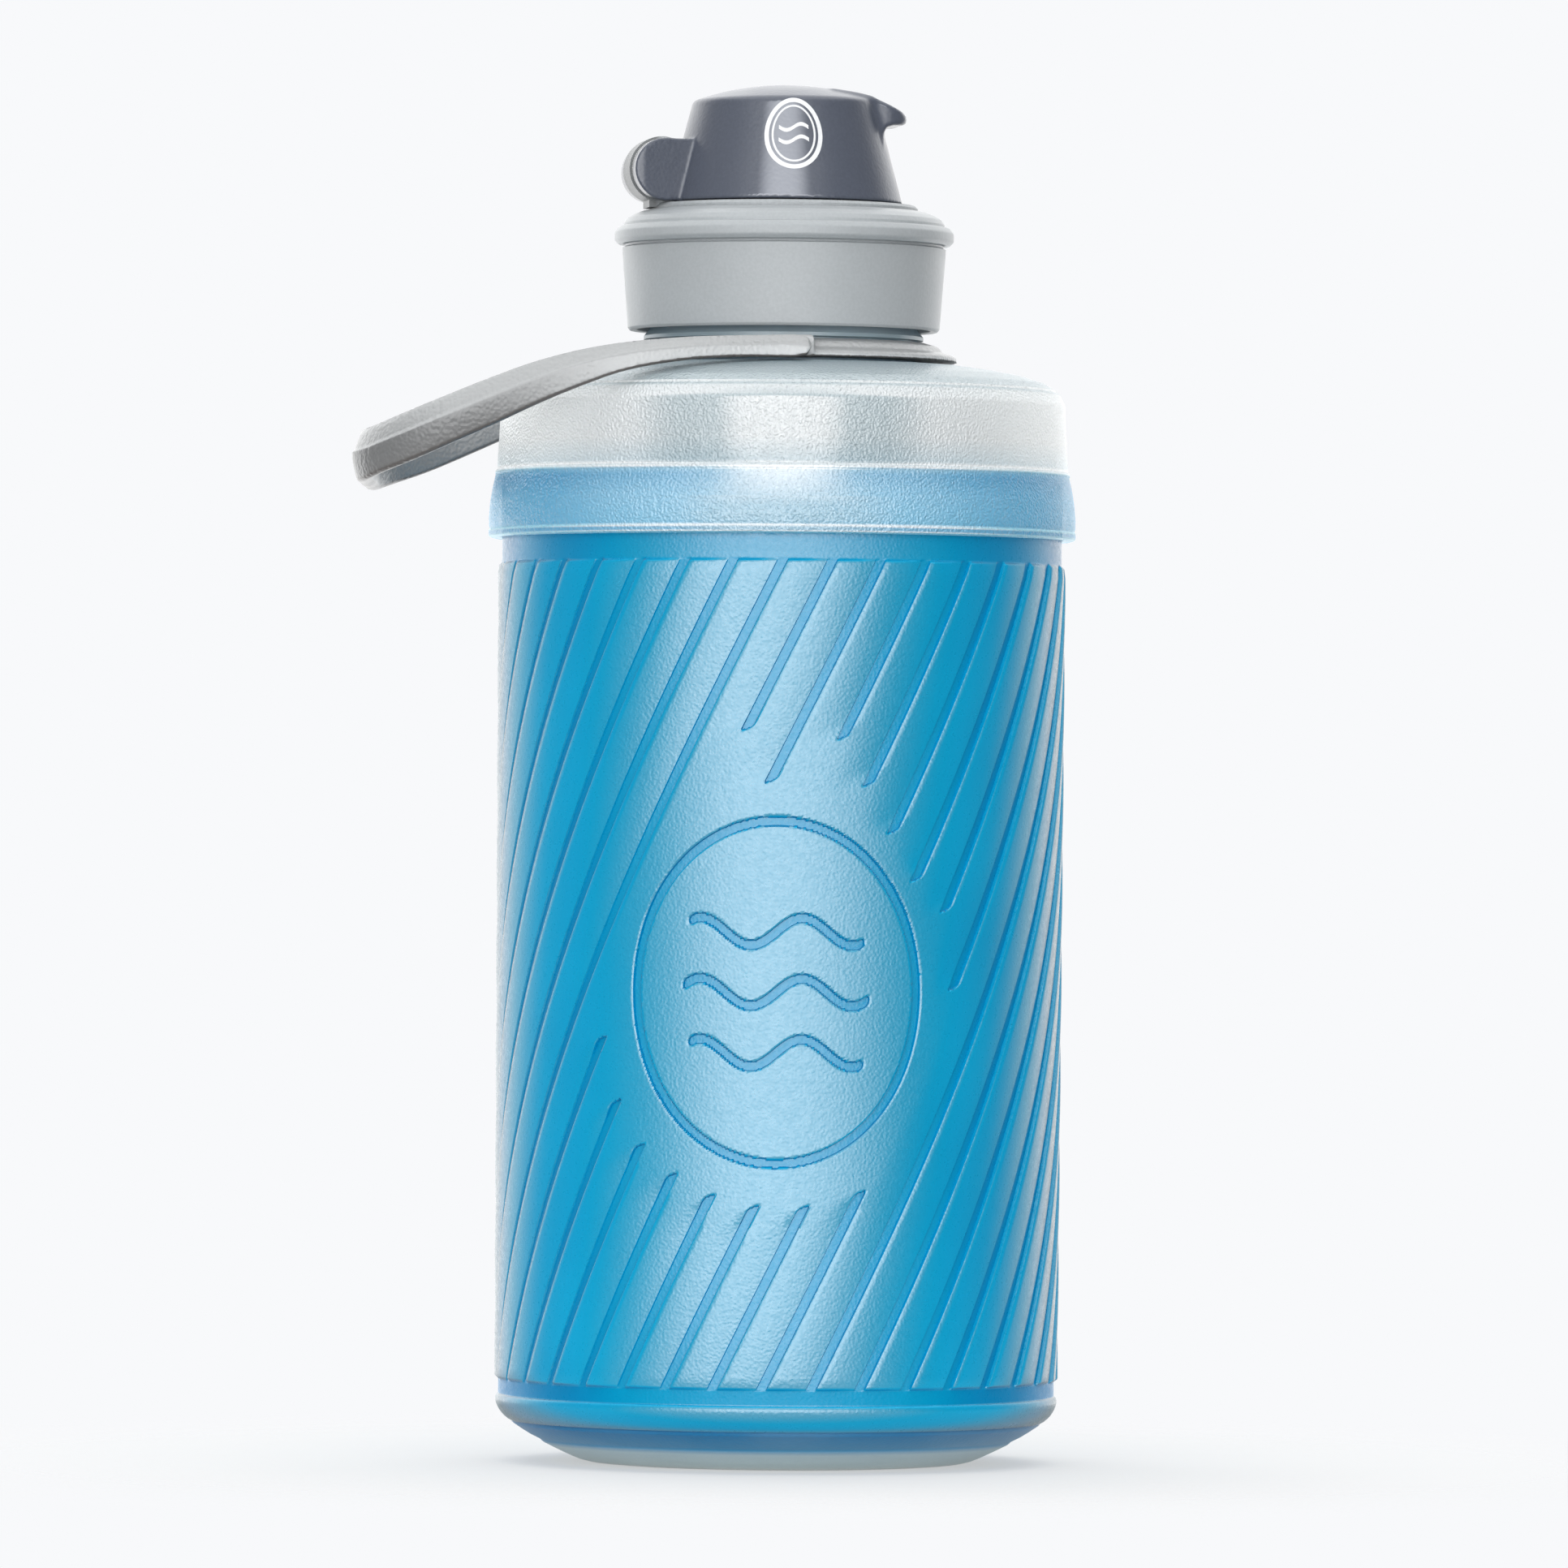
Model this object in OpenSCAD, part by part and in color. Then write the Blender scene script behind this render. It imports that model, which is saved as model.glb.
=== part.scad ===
// Folding water bottle: a soft ribbed sleeve between a moulded base and shoulder,
// a threaded neck with a swivelling bail handle, and a screw cap with a flip lid.
// Millimetres, +Z up, origin on the ground at the middle of the base. The bail reaches
// toward -X. The lid hinges on the -X side and its thumb tab is on the +X side, both
// turned about Z by cap_yaw.

/* [Body] */
// Land radius of the ribbed sleeve just under the shoulder
sleeve_r_top = 40.6; // [40.3:0.1:40.9]
// Land radius of the ribbed sleeve just above the base
sleeve_r_low = 40.3; // [40.2:0.1:40.6]
// Height at which the ribs begin
rib_z0 = 12.0; // [11.8:0.1:12.4]
// Height at which the ribs end
rib_z1 = 128.3; // [124:0.1:128.6]
// Largest radius of the shoulder skirt that overlaps the sleeve
skirt_r = 41.95; // [41.7:0.05:42.6]
// Lower edge of the shoulder skirt
skirt_z = 131.9; // [131.5:0.1:133]

/* [Neck] */
// Outside radius of the neck barrel under the thread
neck_r = 19.0; // [18.9:0.05:19.1]
// Radius of the mouth
mouth_r = 16.8; // [15:0.1:17.2]
// Height of the sealing rim
rim_z = 175.0; // [174.9:0.05:175]
// Rise of the thread for one full turn
thread_lead = 6.0; // [5.8:0.1:6.2]
// Number of thread starts
thread_starts = 2; // [1:1:2]

/* [Cap] */
// Outside radius of the cap skirt at its lower edge
cap_r_low = 22.2; // [22.1:0.05:22.5]
// Outside radius of the cap skirt under the bead
cap_r_top = 23.1; // [22.9:0.05:23.3]
// Radius to which the bead stands out
bead_r = 24.25; // [23.9:0.05:24.5]
// Turn of the lid hinge round the neck, in degrees from -X
cap_yaw = 9; // [0:1:20]
// Outside radius of the spout at its foot
spout_r = 9.6; // [9:0.1:10]
// Radius of the spout's drinking bore
spout_bore = 6.5; // [5:0.1:6.8]

/* [Lid] */
// Outside radius of the lid at its foot
lid_r = 16.2; // [16:0.1:16.6]
// Inward slope of the lid wall, mm per mm of height
lid_slope = 0.207; // [0.18:0.005:0.22]
// Height of the top of the lid's dome
lid_top = 196.9; // [196:0.1:198]
// Radius of curvature of the dome
dome_r = 39; // [34:1:60]
// Half width of the thumb tab
tab_w = 6.2; // [5:0.1:7]
// Distance of the hinge axis from the neck axis
hinge_x = 18.2; // [18.1:0.05:18.4]
// Height of the hinge axis
hinge_z = 184.5; // [184.4:0.05:184.7]
// Radius of the hinge knuckles
knuckle_r = 4.7; // [4.4:0.05:4.7]
// Radius of the hinge pin
pin_r = 1.0; // [0.8:0.05:1.2]

/* [Handle] */
// Distance from the neck axis to the outer end of the bail
bail_reach = 62; // [56:1:70]
// Half width of the bail inside its straps, where it is widest
bail_w = 31.3; // [31:0.1:34]
// Thickness of the strap
strap_t = 3.0; // [2.5:0.1:3.5]
// Offset of the bail pivots from the neck axis
pivot_x = 2.4; // [1:0.1:3]
// Height of the bail pivots
pivot_z = 158.75; // [158.7:0.01:158.8]
// Radius of the pivot studs
stud_r = 0.95; // [0.8:0.05:1.0]

/* [Hidden] */
$fn = 96;

// Clearances
running_gap = 0.05;     // round the hinge pin, on the radius
stud_gap = 0.08;        // round the pivot studs, on the radius
seal_gap = 0.02;        // between a seal and the face behind it

// Threads: both have the same width at the crest
male_r = 20.45;
female_r = 19.5;
crest_width = 0.7;
// Sets the cap's ridges midway between the neck's, for two starts and a lead of 6
cap_thread_phase = -144;

// Cap and spout
cap_inner_r = 21.0;     // inside of the cap skirt
plate_z0 = 176.15;      // underside of the cap's top plate
plate_z1 = 178.4;       // top of the cap's top plate
bead_round = 1.5;       // section radius of the bead
o_ring_r = 14.2;        // middle of the o-ring's section
o_ring_section_r = 0.5;
groove_half_w = 0.9;
groove_z = 177.4;       // floor of the o-ring groove
disc_r = 19.1;          // spout disc
disc_z1 = 179.7;
seat_z = 190.8;         // spout rim, where the lid seal lands

// Lid and hinge
lid_x = 0.3;            // middle of the lid, from the neck axis
lid_z0 = 180.0;
lid_cone_h = 17.5;      // passes above the dome
lid_wall = 1.6;
cavity_z = 192.9;       // roof of the lid's hollow
tab_reach = 17.4;
tab_corner = 3.5;
barrel_w = 3.2;         // half length of the middle knuckle
ear_w0 = 3.9;           // inner face of an ear, from the lid's mid-plane
ear_w1 = 6.2;           // outer face of an ear
ear_chamfer = 0.5;
ear_gap_r = 5.6;        // cut that clears the middle knuckle
pin_floor = 0.5;        // left at the blind end of the pin's hole
hinge_axis = [-hinge_x, hinge_z];

// Handle
collar_z0 = 157.3;
lug_size = [3.8, 3.65, 3.0];
pivot_axis = [pivot_x, pivot_z];
pivot_end_r = 1.7;      // rounded end of the strap, seen from the side
pivot_end_x = 1.8;      // how far the plan runs past the pivot
bail_root_w = 25.1;     // half width inside the straps at the pivots
flare_length = 26;      // length over which the bail widens
bail_corner = 10;       // corner radius on the inside of the band
// Lengthens the side outline slightly past the plan, which sets the outer end
bail_stretch = (bail_reach + 0.4) / 62;

// Points along an arc round centre, in degrees.
function arc(centre, radius, start, end, steps) =
  [for (i = [0:steps]) let (angle = start + (end - start) * i / steps)
    centre + radius * [cos(angle), sin(angle)]];
function smooth_step(value) =
  let (part = max(0, min(1, value))) part * part * (3 - 2 * part);

// Solid of revolution about Z from [radius, z] points.
module turned(profile) rotate_extrude() polygon(profile);

// Turns a shape drawn with its hinge on the -X side to the cap's own heading.
module on_cap() rotate([0, 0, cap_yaw]) children();

// The children and their mirror image across the XZ plane.
module both_sides() for (side = [0, 1]) mirror([0, side, 0]) children();

// Round bar along Y about axis = [x, z].
module bar_y(axis, y0, y1, radius, end_radius = undef)
  translate([axis.x, y0, axis.y]) rotate([-90, 0, 0])
    cylinder(h = y1 - y0, r1 = radius, r2 = is_undef(end_radius) ? radius : end_radius);

// Outline of [x, z] points extruded both ways along Y.
module side_prism(outline, half_width)
  translate([0, half_width, 0]) rotate([90, 0, 0])
    linear_extrude(2 * half_width) polygon(outline);

// One helical ridge of trapezoid section, faded in and out at its ends.
// A crest inside the root makes an internal thread.
module ridge(root_r, crest_r, root_width, z0, start_angle, turns) {
  steps_per_turn = 30;
  steps = ceil(turns * steps_per_turn);
  fade_steps = steps_per_turn / 9;
  points = [for (i = [0:steps]) let (
      angle = start_angle + 360 * turns * i / steps,
      z = z0 + thread_lead * turns * i / steps,
      fade = max(0.12, min(1, min(i, steps - i) / fade_steps)),
      tip_r = root_r + (crest_r - root_r) * fade,
      tip_width = root_width + (crest_width - root_width) * fade,
      section = [[root_r, -root_width / 2], [tip_r, -tip_width / 2],
                 [tip_r, tip_width / 2], [root_r, root_width / 2]])
      each [for (p = section) [p[0] * cos(angle), p[0] * sin(angle), z + p[1]]]];
  sides = [for (i = [0:steps - 1], j = [0:3]) let (
      near = 4 * i + j, near_next = 4 * i + (j + 1) % 4)
      each [[near, near_next, near_next + 4], [near, near_next + 4, near + 4]]];
  last = 4 * steps;
  ends = [[0, 2, 1], [0, 3, 2], [last, last + 1, last + 2], [last, last + 2, last + 3]];
  faces = concat(sides, ends);
  // An inward crest turns the section inside out, so its faces are wound the other way.
  wound = crest_r < root_r ? [for (face = faces) [face[0], face[2], face[1]]] : faces;
  polyhedron(points, wound, convexity = 6);
}

// One ridge for each thread start.
module thread(root_r, crest_r, root_width, z0, start_angle, turns)
  for (i = [0:thread_starts - 1])
    ridge(root_r, crest_r, root_width, z0, start_angle + i * 360 / thread_starts, turns);

// Every profile below lists [radius, z].

// Moulded base: a flat foot, a rounded heel and a weld wall inside the sleeve.
module base_disc() {
  profile = [
    [0, 0], [16.8, 0], [17.4, 0.6], [18.8, 0.6], [19.4, 0], [26, 0],
    [28.2, 0.45], [30.7, 1.5], [33, 2.6], [35, 3.7], [36.6, 4.75], [37.8, 5.6],
    [37.3, 6.3], [37.95, 6.98], [38.6, 7.9], [38.95, 8.9], [39.0, 14.2], [38.0, 14.2],
    [37.9, 9.4], [37.4, 8.3], [36.2, 7.1], [34.4, 5.9], [31.8, 4.7], [28.4, 3.5],
    [24, 2.6], [0, 2.4]];
  color([0.66, 0.80, 0.86]) turned(profile);
}

// Soft sleeve that folds: plain here, at its ribs' outer size.
module body_sleeve() {
  profile = [
    [38.05, 5.85], [38.9, 6.5], [39.6, 7.35], [40.05, 8.3], [40.2, 9.3],
    [39.75, 9.7], [39.75, rib_z0 - 0.3], [sleeve_r_low, rib_z0 + 0.1],
    [sleeve_r_top, rib_z1 - 0.1], [40.0, rib_z1 + 0.3], [40.0, 131.7], [39.95, 140.9],
    [39.05, 140.9], [39.05, 129.5], [39.6, rib_z1 - 4], [39.3, 18],
    [39.2, 14.4], [39.2, 8.95], [38.95, 8.1], [38.3, 7.15], [37.55, 6.4]];
  color([0.10, 0.60, 0.83]) turned(profile);
}

// Clear shoulder with the skirt that overlaps the sleeve.
module shoulder() {
  profile = [
    [40.1, skirt_z], [skirt_r - 0.35, skirt_z], [skirt_r, skirt_z + 0.4], [skirt_r, 134.5],
    [skirt_r - 0.12, 137], [skirt_r - 0.45, 139.6], [skirt_r - 0.9, 141.6],
    [40.75, 143.5], [40.5, 147], [40.35, 150.6],
    [40.15, 151.7], [39.6, 152.75], [38.7, 153.65], [37.4, 154.4], [35.8, 155.05],
    [33.5, 155.6], [30, 156.2], [26, 156.75], [22, 157.0], [19.12, 157.0],
    [19.12, 155.6], [24.6, 155.35], [28, 154.9], [33, 154.1], [36, 153.1], [38, 151.9],
    [38.9, 150.8], [39.15, 149.5], [39.2, 143], [39.2, 141.1], [40.1, 141.1]];
  color([0.87, 0.91, 0.91]) turned(profile);
}

// Threaded neck with a weld flange under the shoulder and a bead that keeps the handle on.
module neck_finish() {
  profile = [
    [mouth_r, 153.6], [24.0, 153.6], [24.3, 154.4], [24.0, 155.2], [neck_r + 0.05, 155.5],
    [neck_r + 0.05, 160.25], [20.0, 160.4], [20.0, 160.9], [neck_r + 0.2, 161.9],
    [neck_r, 162.2], [neck_r, rim_z - 0.6], [neck_r - 0.5, rim_z],
    [mouth_r + 0.4, rim_z], [mouth_r, rim_z - 0.4]];
  color([0.80, 0.88, 0.92]) union() {
    turned(profile);
    thread(neck_r - 0.2, male_r, root_width = 1.7, z0 = 165.2, start_angle = 0, turns = 1.05);
  }
}

// Ring that turns freely on the neck, with two studs that carry the bail.
module handle_collar() {
  bore_r = neck_r + 0.35;
  profile = [
    [bore_r, collar_z0], [24.8, collar_z0], [24.75, 157.85], [24.3, 158.15],
    [22.7, 158.7], [22.4, 159.3], [22.0, 159.55], [20.4, 160.05], [bore_r, 160.05]];
  color([0.66, 0.67, 0.67]) union() {
    turned(profile);
    both_sides() {
      translate([pivot_x - lug_size.x / 2, 21.2, collar_z0]) cube(lug_size);
      bar_y(pivot_axis, 24.5, 26.8, stud_r);
    }
  }
}

// Half width of the bail inside its straps, at x.
function bail_half_width(x) =
  bail_root_w + (bail_w - bail_root_w) * smooth_step((pivot_x - x) / flare_length);

// The bail from above, standing out from the inside of the band by offset.
module bail_plan(offset) {
  near_x = pivot_x + pivot_end_x;
  far_x = 16 - bail_reach;
  corner_centre = [-bail_reach + strap_t + bail_corner, bail_w - bail_corner];
  half = concat(
    [for (i = [0:16]) let (x = near_x + (far_x - near_x) * i / 16)
      [x, bail_half_width(x) + offset]],
    arc(corner_centre, bail_corner + offset, 95, 180, 9));
  mirrored = [for (i = [len(half) - 1:-1:0]) [half[i].x, -half[i].y]];
  polygon(concat(half, mirrored));
}

// Bail strap: a flat band from above that droops over the shoulder from the side.
module handle_bail() {
  // [x, z], for a reach of 62: out along the upper edge, back along the lower
  edges = [
    [-4, 160.4], [-12.6, 159.9], [-21.4, 158.9], [-28, 157.8], [-34.5, 156.1],
    [-40.6, 153.9], [-47.5, 151.1], [-56.6, 147.6], [-60.9, 146.1], [-61.8, 145.5],
    [-61.8, 139.4], [-60.9, 138.9], [-59.4, 139.1], [-56.6, 140.2], [-47.5, 143.9],
    [-40.6, 147.0], [-34.5, 149.9], [-28, 152.7], [-21.4, 154.9], [-12.6, 156.5],
    [-4, 156.95]];
  side_outline = concat(
    arc(pivot_axis, pivot_end_r, -90, 90, 10),
    [for (p = edges) [p.x * bail_stretch, p.y]]);
  color([0.62, 0.63, 0.63]) difference() {
    intersection() {
      side_prism(side_outline, 40);
      translate([0, 0, 130]) linear_extrude(40) difference() {
        bail_plan(strap_t);
        // The small shift opens the band at its +X end.
        translate([0.01, 0]) bail_plan(0);
      }
    }
    both_sides() bar_y(pivot_axis, 20, 27, stud_r + stud_gap);
    // Flattens the inner faces of the straps round the pivots.
    translate([pivot_x - 2, -25.05, 150]) cube([8, 50.1, 20]);
  }
}

// Screw cap: threaded skirt, bead and a top plate with a hole for the spout.
module cap_body() {
  profile = concat(
    [[20.95, 161.4], [cap_r_low - 0.3, 161.4], [cap_r_low, 161.75],
     [cap_r_top, 172.8], [cap_r_top + 0.15, 173.25]],
    arc([bead_r - bead_round, 174.75], bead_round, -58, 66, 10),
    [[22.65, 176.45], [22.5, 176.9], [22.3, 177.6], [21.8, 178.15], [21.0, plate_z1],
     [o_ring_r + groove_half_w, plate_z1], [o_ring_r + groove_half_w, groove_z],
     [o_ring_r - groove_half_w, groove_z], [o_ring_r - groove_half_w, plate_z1],
     [11.05, plate_z1], [11.05, plate_z0], [cap_inner_r, plate_z0],
     [cap_inner_r, 162.8], [20.95, 162.4]]);
  color([0.69, 0.71, 0.72]) on_cap() union() {
    turned(profile);
    // Undoing the yaw keeps the cap's thread in step with the neck's.
    thread(cap_inner_r + 0.2, female_r, root_width = 1.9, z0 = 164.3,
           start_angle = cap_thread_phase - cap_yaw, turns = 1.0);
  }
}

// Flat silicone washer that the neck's rim seals on.
module cap_gasket() {
  inner_r = mouth_r - 0.6;
  outer_r = 20.7;
  low_z = rim_z + 0.03;
  top_z = plate_z0 - seal_gap;
  color([0.93, 0.93, 0.92])
    turned([[inner_r, low_z], [outer_r, low_z], [outer_r, top_z], [inner_r, top_z]]);
}

// Spout, its disc and the middle knuckle of the lid hinge, snapped into the cap.
module spout_insert() {
  profile = [
    [spout_bore, 174.4], [10.6, 174.4], [11.4, 175.3], [11.4, 175.9], [10.95, 176.05],
    [10.95, plate_z1 + 0.05], [disc_r - 0.3, plate_z1 + 0.05], [disc_r, plate_z1 + 0.3],
    [disc_r, disc_z1 - 0.4], [disc_r - 0.4, disc_z1], [13.3, disc_z1], [13.1, disc_z1 + 0.5],
    [12.2, disc_z1 + 0.5], [12.0, disc_z1], [spout_r + 0.4, disc_z1],
    [spout_r, disc_z1 + 0.6], [spout_r - 0.7, seat_z - 0.6], [spout_r - 1.2, seat_z],
    [spout_bore + 0.6, seat_z], [spout_bore, seat_z - 0.6]];
  foot_w = barrel_w - 0.2;
  color([0.72, 0.74, 0.75]) on_cap() difference() {
    union() {
      turned(profile);
      bar_y(hinge_axis, -barrel_w, barrel_w, knuckle_r);
      translate([-hinge_x - 1.8, -foot_w, disc_z1 - 0.6]) cube([3.6, 2 * foot_w, 2.6]);
    }
    bar_y(hinge_axis, -10, 10, pin_r + running_gap);
  }
}

// O-ring between the spout disc and the cap.
module spout_o_ring() color([0.15, 0.15, 0.16])
  rotate_extrude() translate([o_ring_r, groove_z + o_ring_section_r + seal_gap])
    circle(r = o_ring_section_r);

// Outside radius of the lid's cone at height z.
function lid_radius(z) = lid_r - (z - lid_z0) * lid_slope;

// Thumb tab: a side outline cut to a plan with rounded corners.
module thumb_tab() {
  // [x, z]
  side_outline = [
    [9.5, 193.2], [9.5, 195.5], [11.3, 195.2], [13.3, 194.5], [15, 193.8], [16.5, 193.1],
    [17.1, 192.6], [17.3, 192.0], [17.0, 191.4], [16.2, 191.1], [14.5, 191.0],
    [13.7, 190.4], [12.8, 190.2]];
  corner_x = tab_reach - tab_corner;
  corner_y = tab_w - tab_corner;
  intersection() {
    side_prism(side_outline, tab_w);
    translate([0, 0, 185]) linear_extrude(15) polygon(concat(
      arc([corner_x, corner_y], tab_corner, 90, 0, 6),
      arc([corner_x, -corner_y], tab_corner, 0, -90, 6),
      [[5, -tab_w], [5, tab_w]]));
  }
}

// Hinge ear on the +Y side: a knuckle chamfered outside, joined to the lid by a block.
module hinge_ear() {
  chamfer_y = ear_w1 - ear_chamfer;
  bar_y(hinge_axis, ear_w0, chamfer_y, knuckle_r);
  bar_y(hinge_axis, chamfer_y, ear_w1, knuckle_r, knuckle_r - ear_chamfer);
  translate([-hinge_x, ear_w0, lid_z0])
    cube([7.4, ear_w1 - ear_w0 - 0.3, hinge_z + knuckle_r - 0.1 - lid_z0]);
}

// Lid before hollowing: domed cone, thumb tab and two hinge ears.
module lid_outside() union() {
  intersection() {
    translate([lid_x, 0, lid_z0])
      cylinder(h = lid_cone_h, r1 = lid_r, r2 = lid_radius(lid_z0 + lid_cone_h));
    translate([lid_x, 0, lid_top - dome_r]) sphere(r = dome_r);
  }
  thumb_tab();
  both_sides() hinge_ear();
}

// Flip lid, hollow, cut for the middle knuckle and drilled for the pin.
module flip_lid() {
  cut_z0 = lid_z0 - 1;
  color([0.33, 0.35, 0.40]) on_cap() difference() {
    lid_outside();
    translate([lid_x, 0, cut_z0])
      cylinder(h = cavity_z - cut_z0,
               r1 = lid_radius(cut_z0) - lid_wall, r2 = lid_radius(cavity_z) - lid_wall);
    bar_y(hinge_axis, -ear_w0, ear_w0, ear_gap_r);
    bar_y(hinge_axis, -ear_w1 + pin_floor, ear_w1 + 1, pin_r);
  }
}

// Silicone pad inside the lid that lands on the spout's rim.
module lid_seal() {
  land_z = seat_z + 0.07;
  top_z = cavity_z - seal_gap;
  profile = [[0, 191.4], [6.6, 191.4], [7.0, land_z], [8.6, land_z], [9.0, 191.4],
             [10.4, 191.6], [10.4, top_z], [0, top_z]];
  color([0.90, 0.90, 0.89]) on_cap() turned(profile);
}

// Steel pin, blind in the ear at its -Y end.
module hinge_pin() color([0.75, 0.76, 0.78])
  on_cap() bar_y(hinge_axis, -ear_w1 + pin_floor + 0.1, ear_w1 - 0.1, pin_r);

// Two slip washers on the pin, between the middle knuckle and the lid's ears.
module hinge_washers() color([0.90, 0.90, 0.89])
  on_cap() both_sides() difference() {
    bar_y(hinge_axis, barrel_w + 0.05, ear_w0 - 0.1, knuckle_r - 0.35);
    bar_y(hinge_axis, barrel_w - 1, ear_w0 + 1, pin_r + running_gap);
  }

base_disc();
body_sleeve();
shoulder();
neck_finish();
handle_collar();
handle_bail();
cap_body();
cap_gasket();
spout_insert();
spout_o_ring();
flip_lid();
lid_seal();
hinge_pin();
hinge_washers();
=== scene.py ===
"""Collapsible bottle: ribbed blue sleeve, frosted base and shoulder, cap, flip lid, swing handle.

It stands on Z = 0 round the Z axis. The camera looks from -Y; the lid's hinge and the far end
of the handle point to -X. Shapes are in mm and become metres in add_mesh; distances inside
materials are in metres.
"""

import math

import bmesh
import bpy
import numpy as np
from mathutils import Matrix


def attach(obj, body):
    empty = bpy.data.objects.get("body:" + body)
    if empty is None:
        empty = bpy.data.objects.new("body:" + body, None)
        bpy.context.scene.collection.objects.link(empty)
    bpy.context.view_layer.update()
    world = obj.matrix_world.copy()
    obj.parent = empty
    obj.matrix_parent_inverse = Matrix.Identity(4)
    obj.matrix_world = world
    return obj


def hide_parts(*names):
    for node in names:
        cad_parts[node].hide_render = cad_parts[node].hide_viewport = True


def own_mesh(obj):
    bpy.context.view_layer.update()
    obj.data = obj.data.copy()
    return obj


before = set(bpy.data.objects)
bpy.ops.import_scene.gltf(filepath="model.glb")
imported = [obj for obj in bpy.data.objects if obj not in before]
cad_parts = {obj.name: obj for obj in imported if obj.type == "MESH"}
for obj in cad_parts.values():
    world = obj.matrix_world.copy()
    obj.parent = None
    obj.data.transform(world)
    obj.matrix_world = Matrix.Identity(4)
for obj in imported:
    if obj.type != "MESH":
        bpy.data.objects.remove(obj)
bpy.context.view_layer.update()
scene = bpy.context.scene

MM = 0.001  # metres in a mm
LID_YAW = math.radians(9.0)  # turn of the lid round the neck
SPLIT_LOW, SPLIT_TOP = 11.66, 128.6  # the folding part of the sleeve lies between these heights
SHOULDER_STEP = 141.2  # height where the shoulder's lower flange meets its wall


# ---------------------------------------------------------------- meshes
def add_mesh(name, points, faces, smooth=True):
    mesh = bpy.data.meshes.new(name)
    points = np.asarray(points, float) * MM
    mesh.from_pydata(points.tolist(), [], faces if isinstance(faces, list) else faces.tolist())
    mesh.validate()
    mesh.update()
    ob = bpy.data.objects.new(name, mesh)
    scene.collection.objects.link(ob)
    if smooth:
        mesh.polygons.foreach_set("use_smooth", [True] * len(mesh.polygons))
    return ob


def grid_faces(rows, columns, closed):
    """Quads between rings of points; closed also joins the last ring to the first."""
    spans = np.arange(rows if closed else rows - 1)
    row, column = np.meshgrid(spans, np.arange(columns), indexing="ij")
    next_row, next_column = (row + 1) % rows, (column + 1) % columns
    corners = ((row, column), (row, next_column), (next_row, next_column), (next_row, column))
    return np.stack([i * columns + j for i, j in corners], -1).reshape(-1, 4)


def fillet(stations, steps):
    """A closed outline with its corners rounded; columns are r, z and the corner's radius."""
    stations = np.array(stations, float)
    corners = stations[:, :2]
    outline = []
    for k, (corner, radius) in enumerate(zip(corners, stations[:, 2])):
        back, ahead = corners[k - 1] - corner, corners[(k + 1) % len(corners)] - corner
        back_length, ahead_length = np.linalg.norm(back), np.linalg.norm(ahead)
        back, ahead = back / back_length, ahead / ahead_length
        angle = math.acos(np.clip(back @ ahead, -1, 1))
        if angle > math.radians(176):  # all but straight
            outline.append(corner)
            continue
        cut = min(radius / math.tan(angle / 2), 0.45 * back_length, 0.45 * ahead_length)
        for s in np.linspace(0, 1, steps + 1):
            start, end = corner + back * cut, corner + ahead * cut
            outline.append((1 - s) ** 2 * start + 2 * s * (1 - s) * corner + s**2 * end)
    return np.array(outline)


def refine(outline, longest):
    """Splits long stretches of a closed outline."""
    points = []
    for k, start in enumerate(outline):
        end = outline[(k + 1) % len(outline)]
        parts = max(1, int(np.linalg.norm(end - start) / longest))
        for s in range(parts):
            points.append(start + (end - start) * s / parts)
    return np.array(points)


def spin(profile, columns):
    """Points of an (r, z) profile turned round Z, one ring for each station."""
    angles = np.arange(columns) * 2 * math.pi / columns
    radius, height = profile[:, None, 0], np.repeat(profile[:, None, 1], columns, 1)
    rings = np.stack([radius * np.cos(angles), radius * np.sin(angles), height], -1)
    return rings.reshape(-1, 3)


def lathe(name, profile, columns):
    """A closed (r, z) outline clear of the axis, turned round Z."""
    profile = np.asarray(profile, float)
    r, z = profile.T
    if 0.5 * np.sum(r * np.roll(z, -1) - np.roll(r, -1) * z) < 0:
        profile = profile[::-1]
    return add_mesh(name, spin(profile, columns), grid_faces(len(profile), columns, True))


def lathe_to_axis(name, profile, columns):
    """An open (r, z) outline from the axis, out and round and back to the axis."""
    profile = np.asarray(profile, float)
    rings = len(profile) - 2
    points = spin(profile[1:-1], columns)
    faces = grid_faces(rings, columns, False).tolist()
    pole, last = len(points), (rings - 1) * columns
    points = np.vstack([points, [0, 0, profile[0, 1]], [0, 0, profile[-1, 1]]])
    for j in range(columns):
        k = (j + 1) % columns
        faces.append([pole, k, j])
        faces.append([pole + 1, last + j, last + k])
    return add_mesh(name, points, faces)


# ---------------------------------------------------------------- surfaces from distance fields
def sample_field(field, axes, cell):
    """Field values on the grid: exact near the surface, elsewhere only the right sign."""
    coarse, batch = 5, 400000
    rough = field(*np.meshgrid(*[axis[::coarse] for axis in axes], indexing="ij"))
    for axis in range(3):
        rough = np.repeat(rough, coarse, axis)
    rough = rough[: len(axes[0]), : len(axes[1]), : len(axes[2])].astype(np.float32)
    near = np.argwhere(np.abs(rough) < cell * coarse * 2.3)
    values = np.where(rough < 0, -9.0, 9.0).astype(np.float32)
    for start in range(0, len(near), batch):
        i, j, k = near[start : start + batch].T
        values[i, j, k] = field(axes[0][i], axes[1][j], axes[2][k])
    return values


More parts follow.
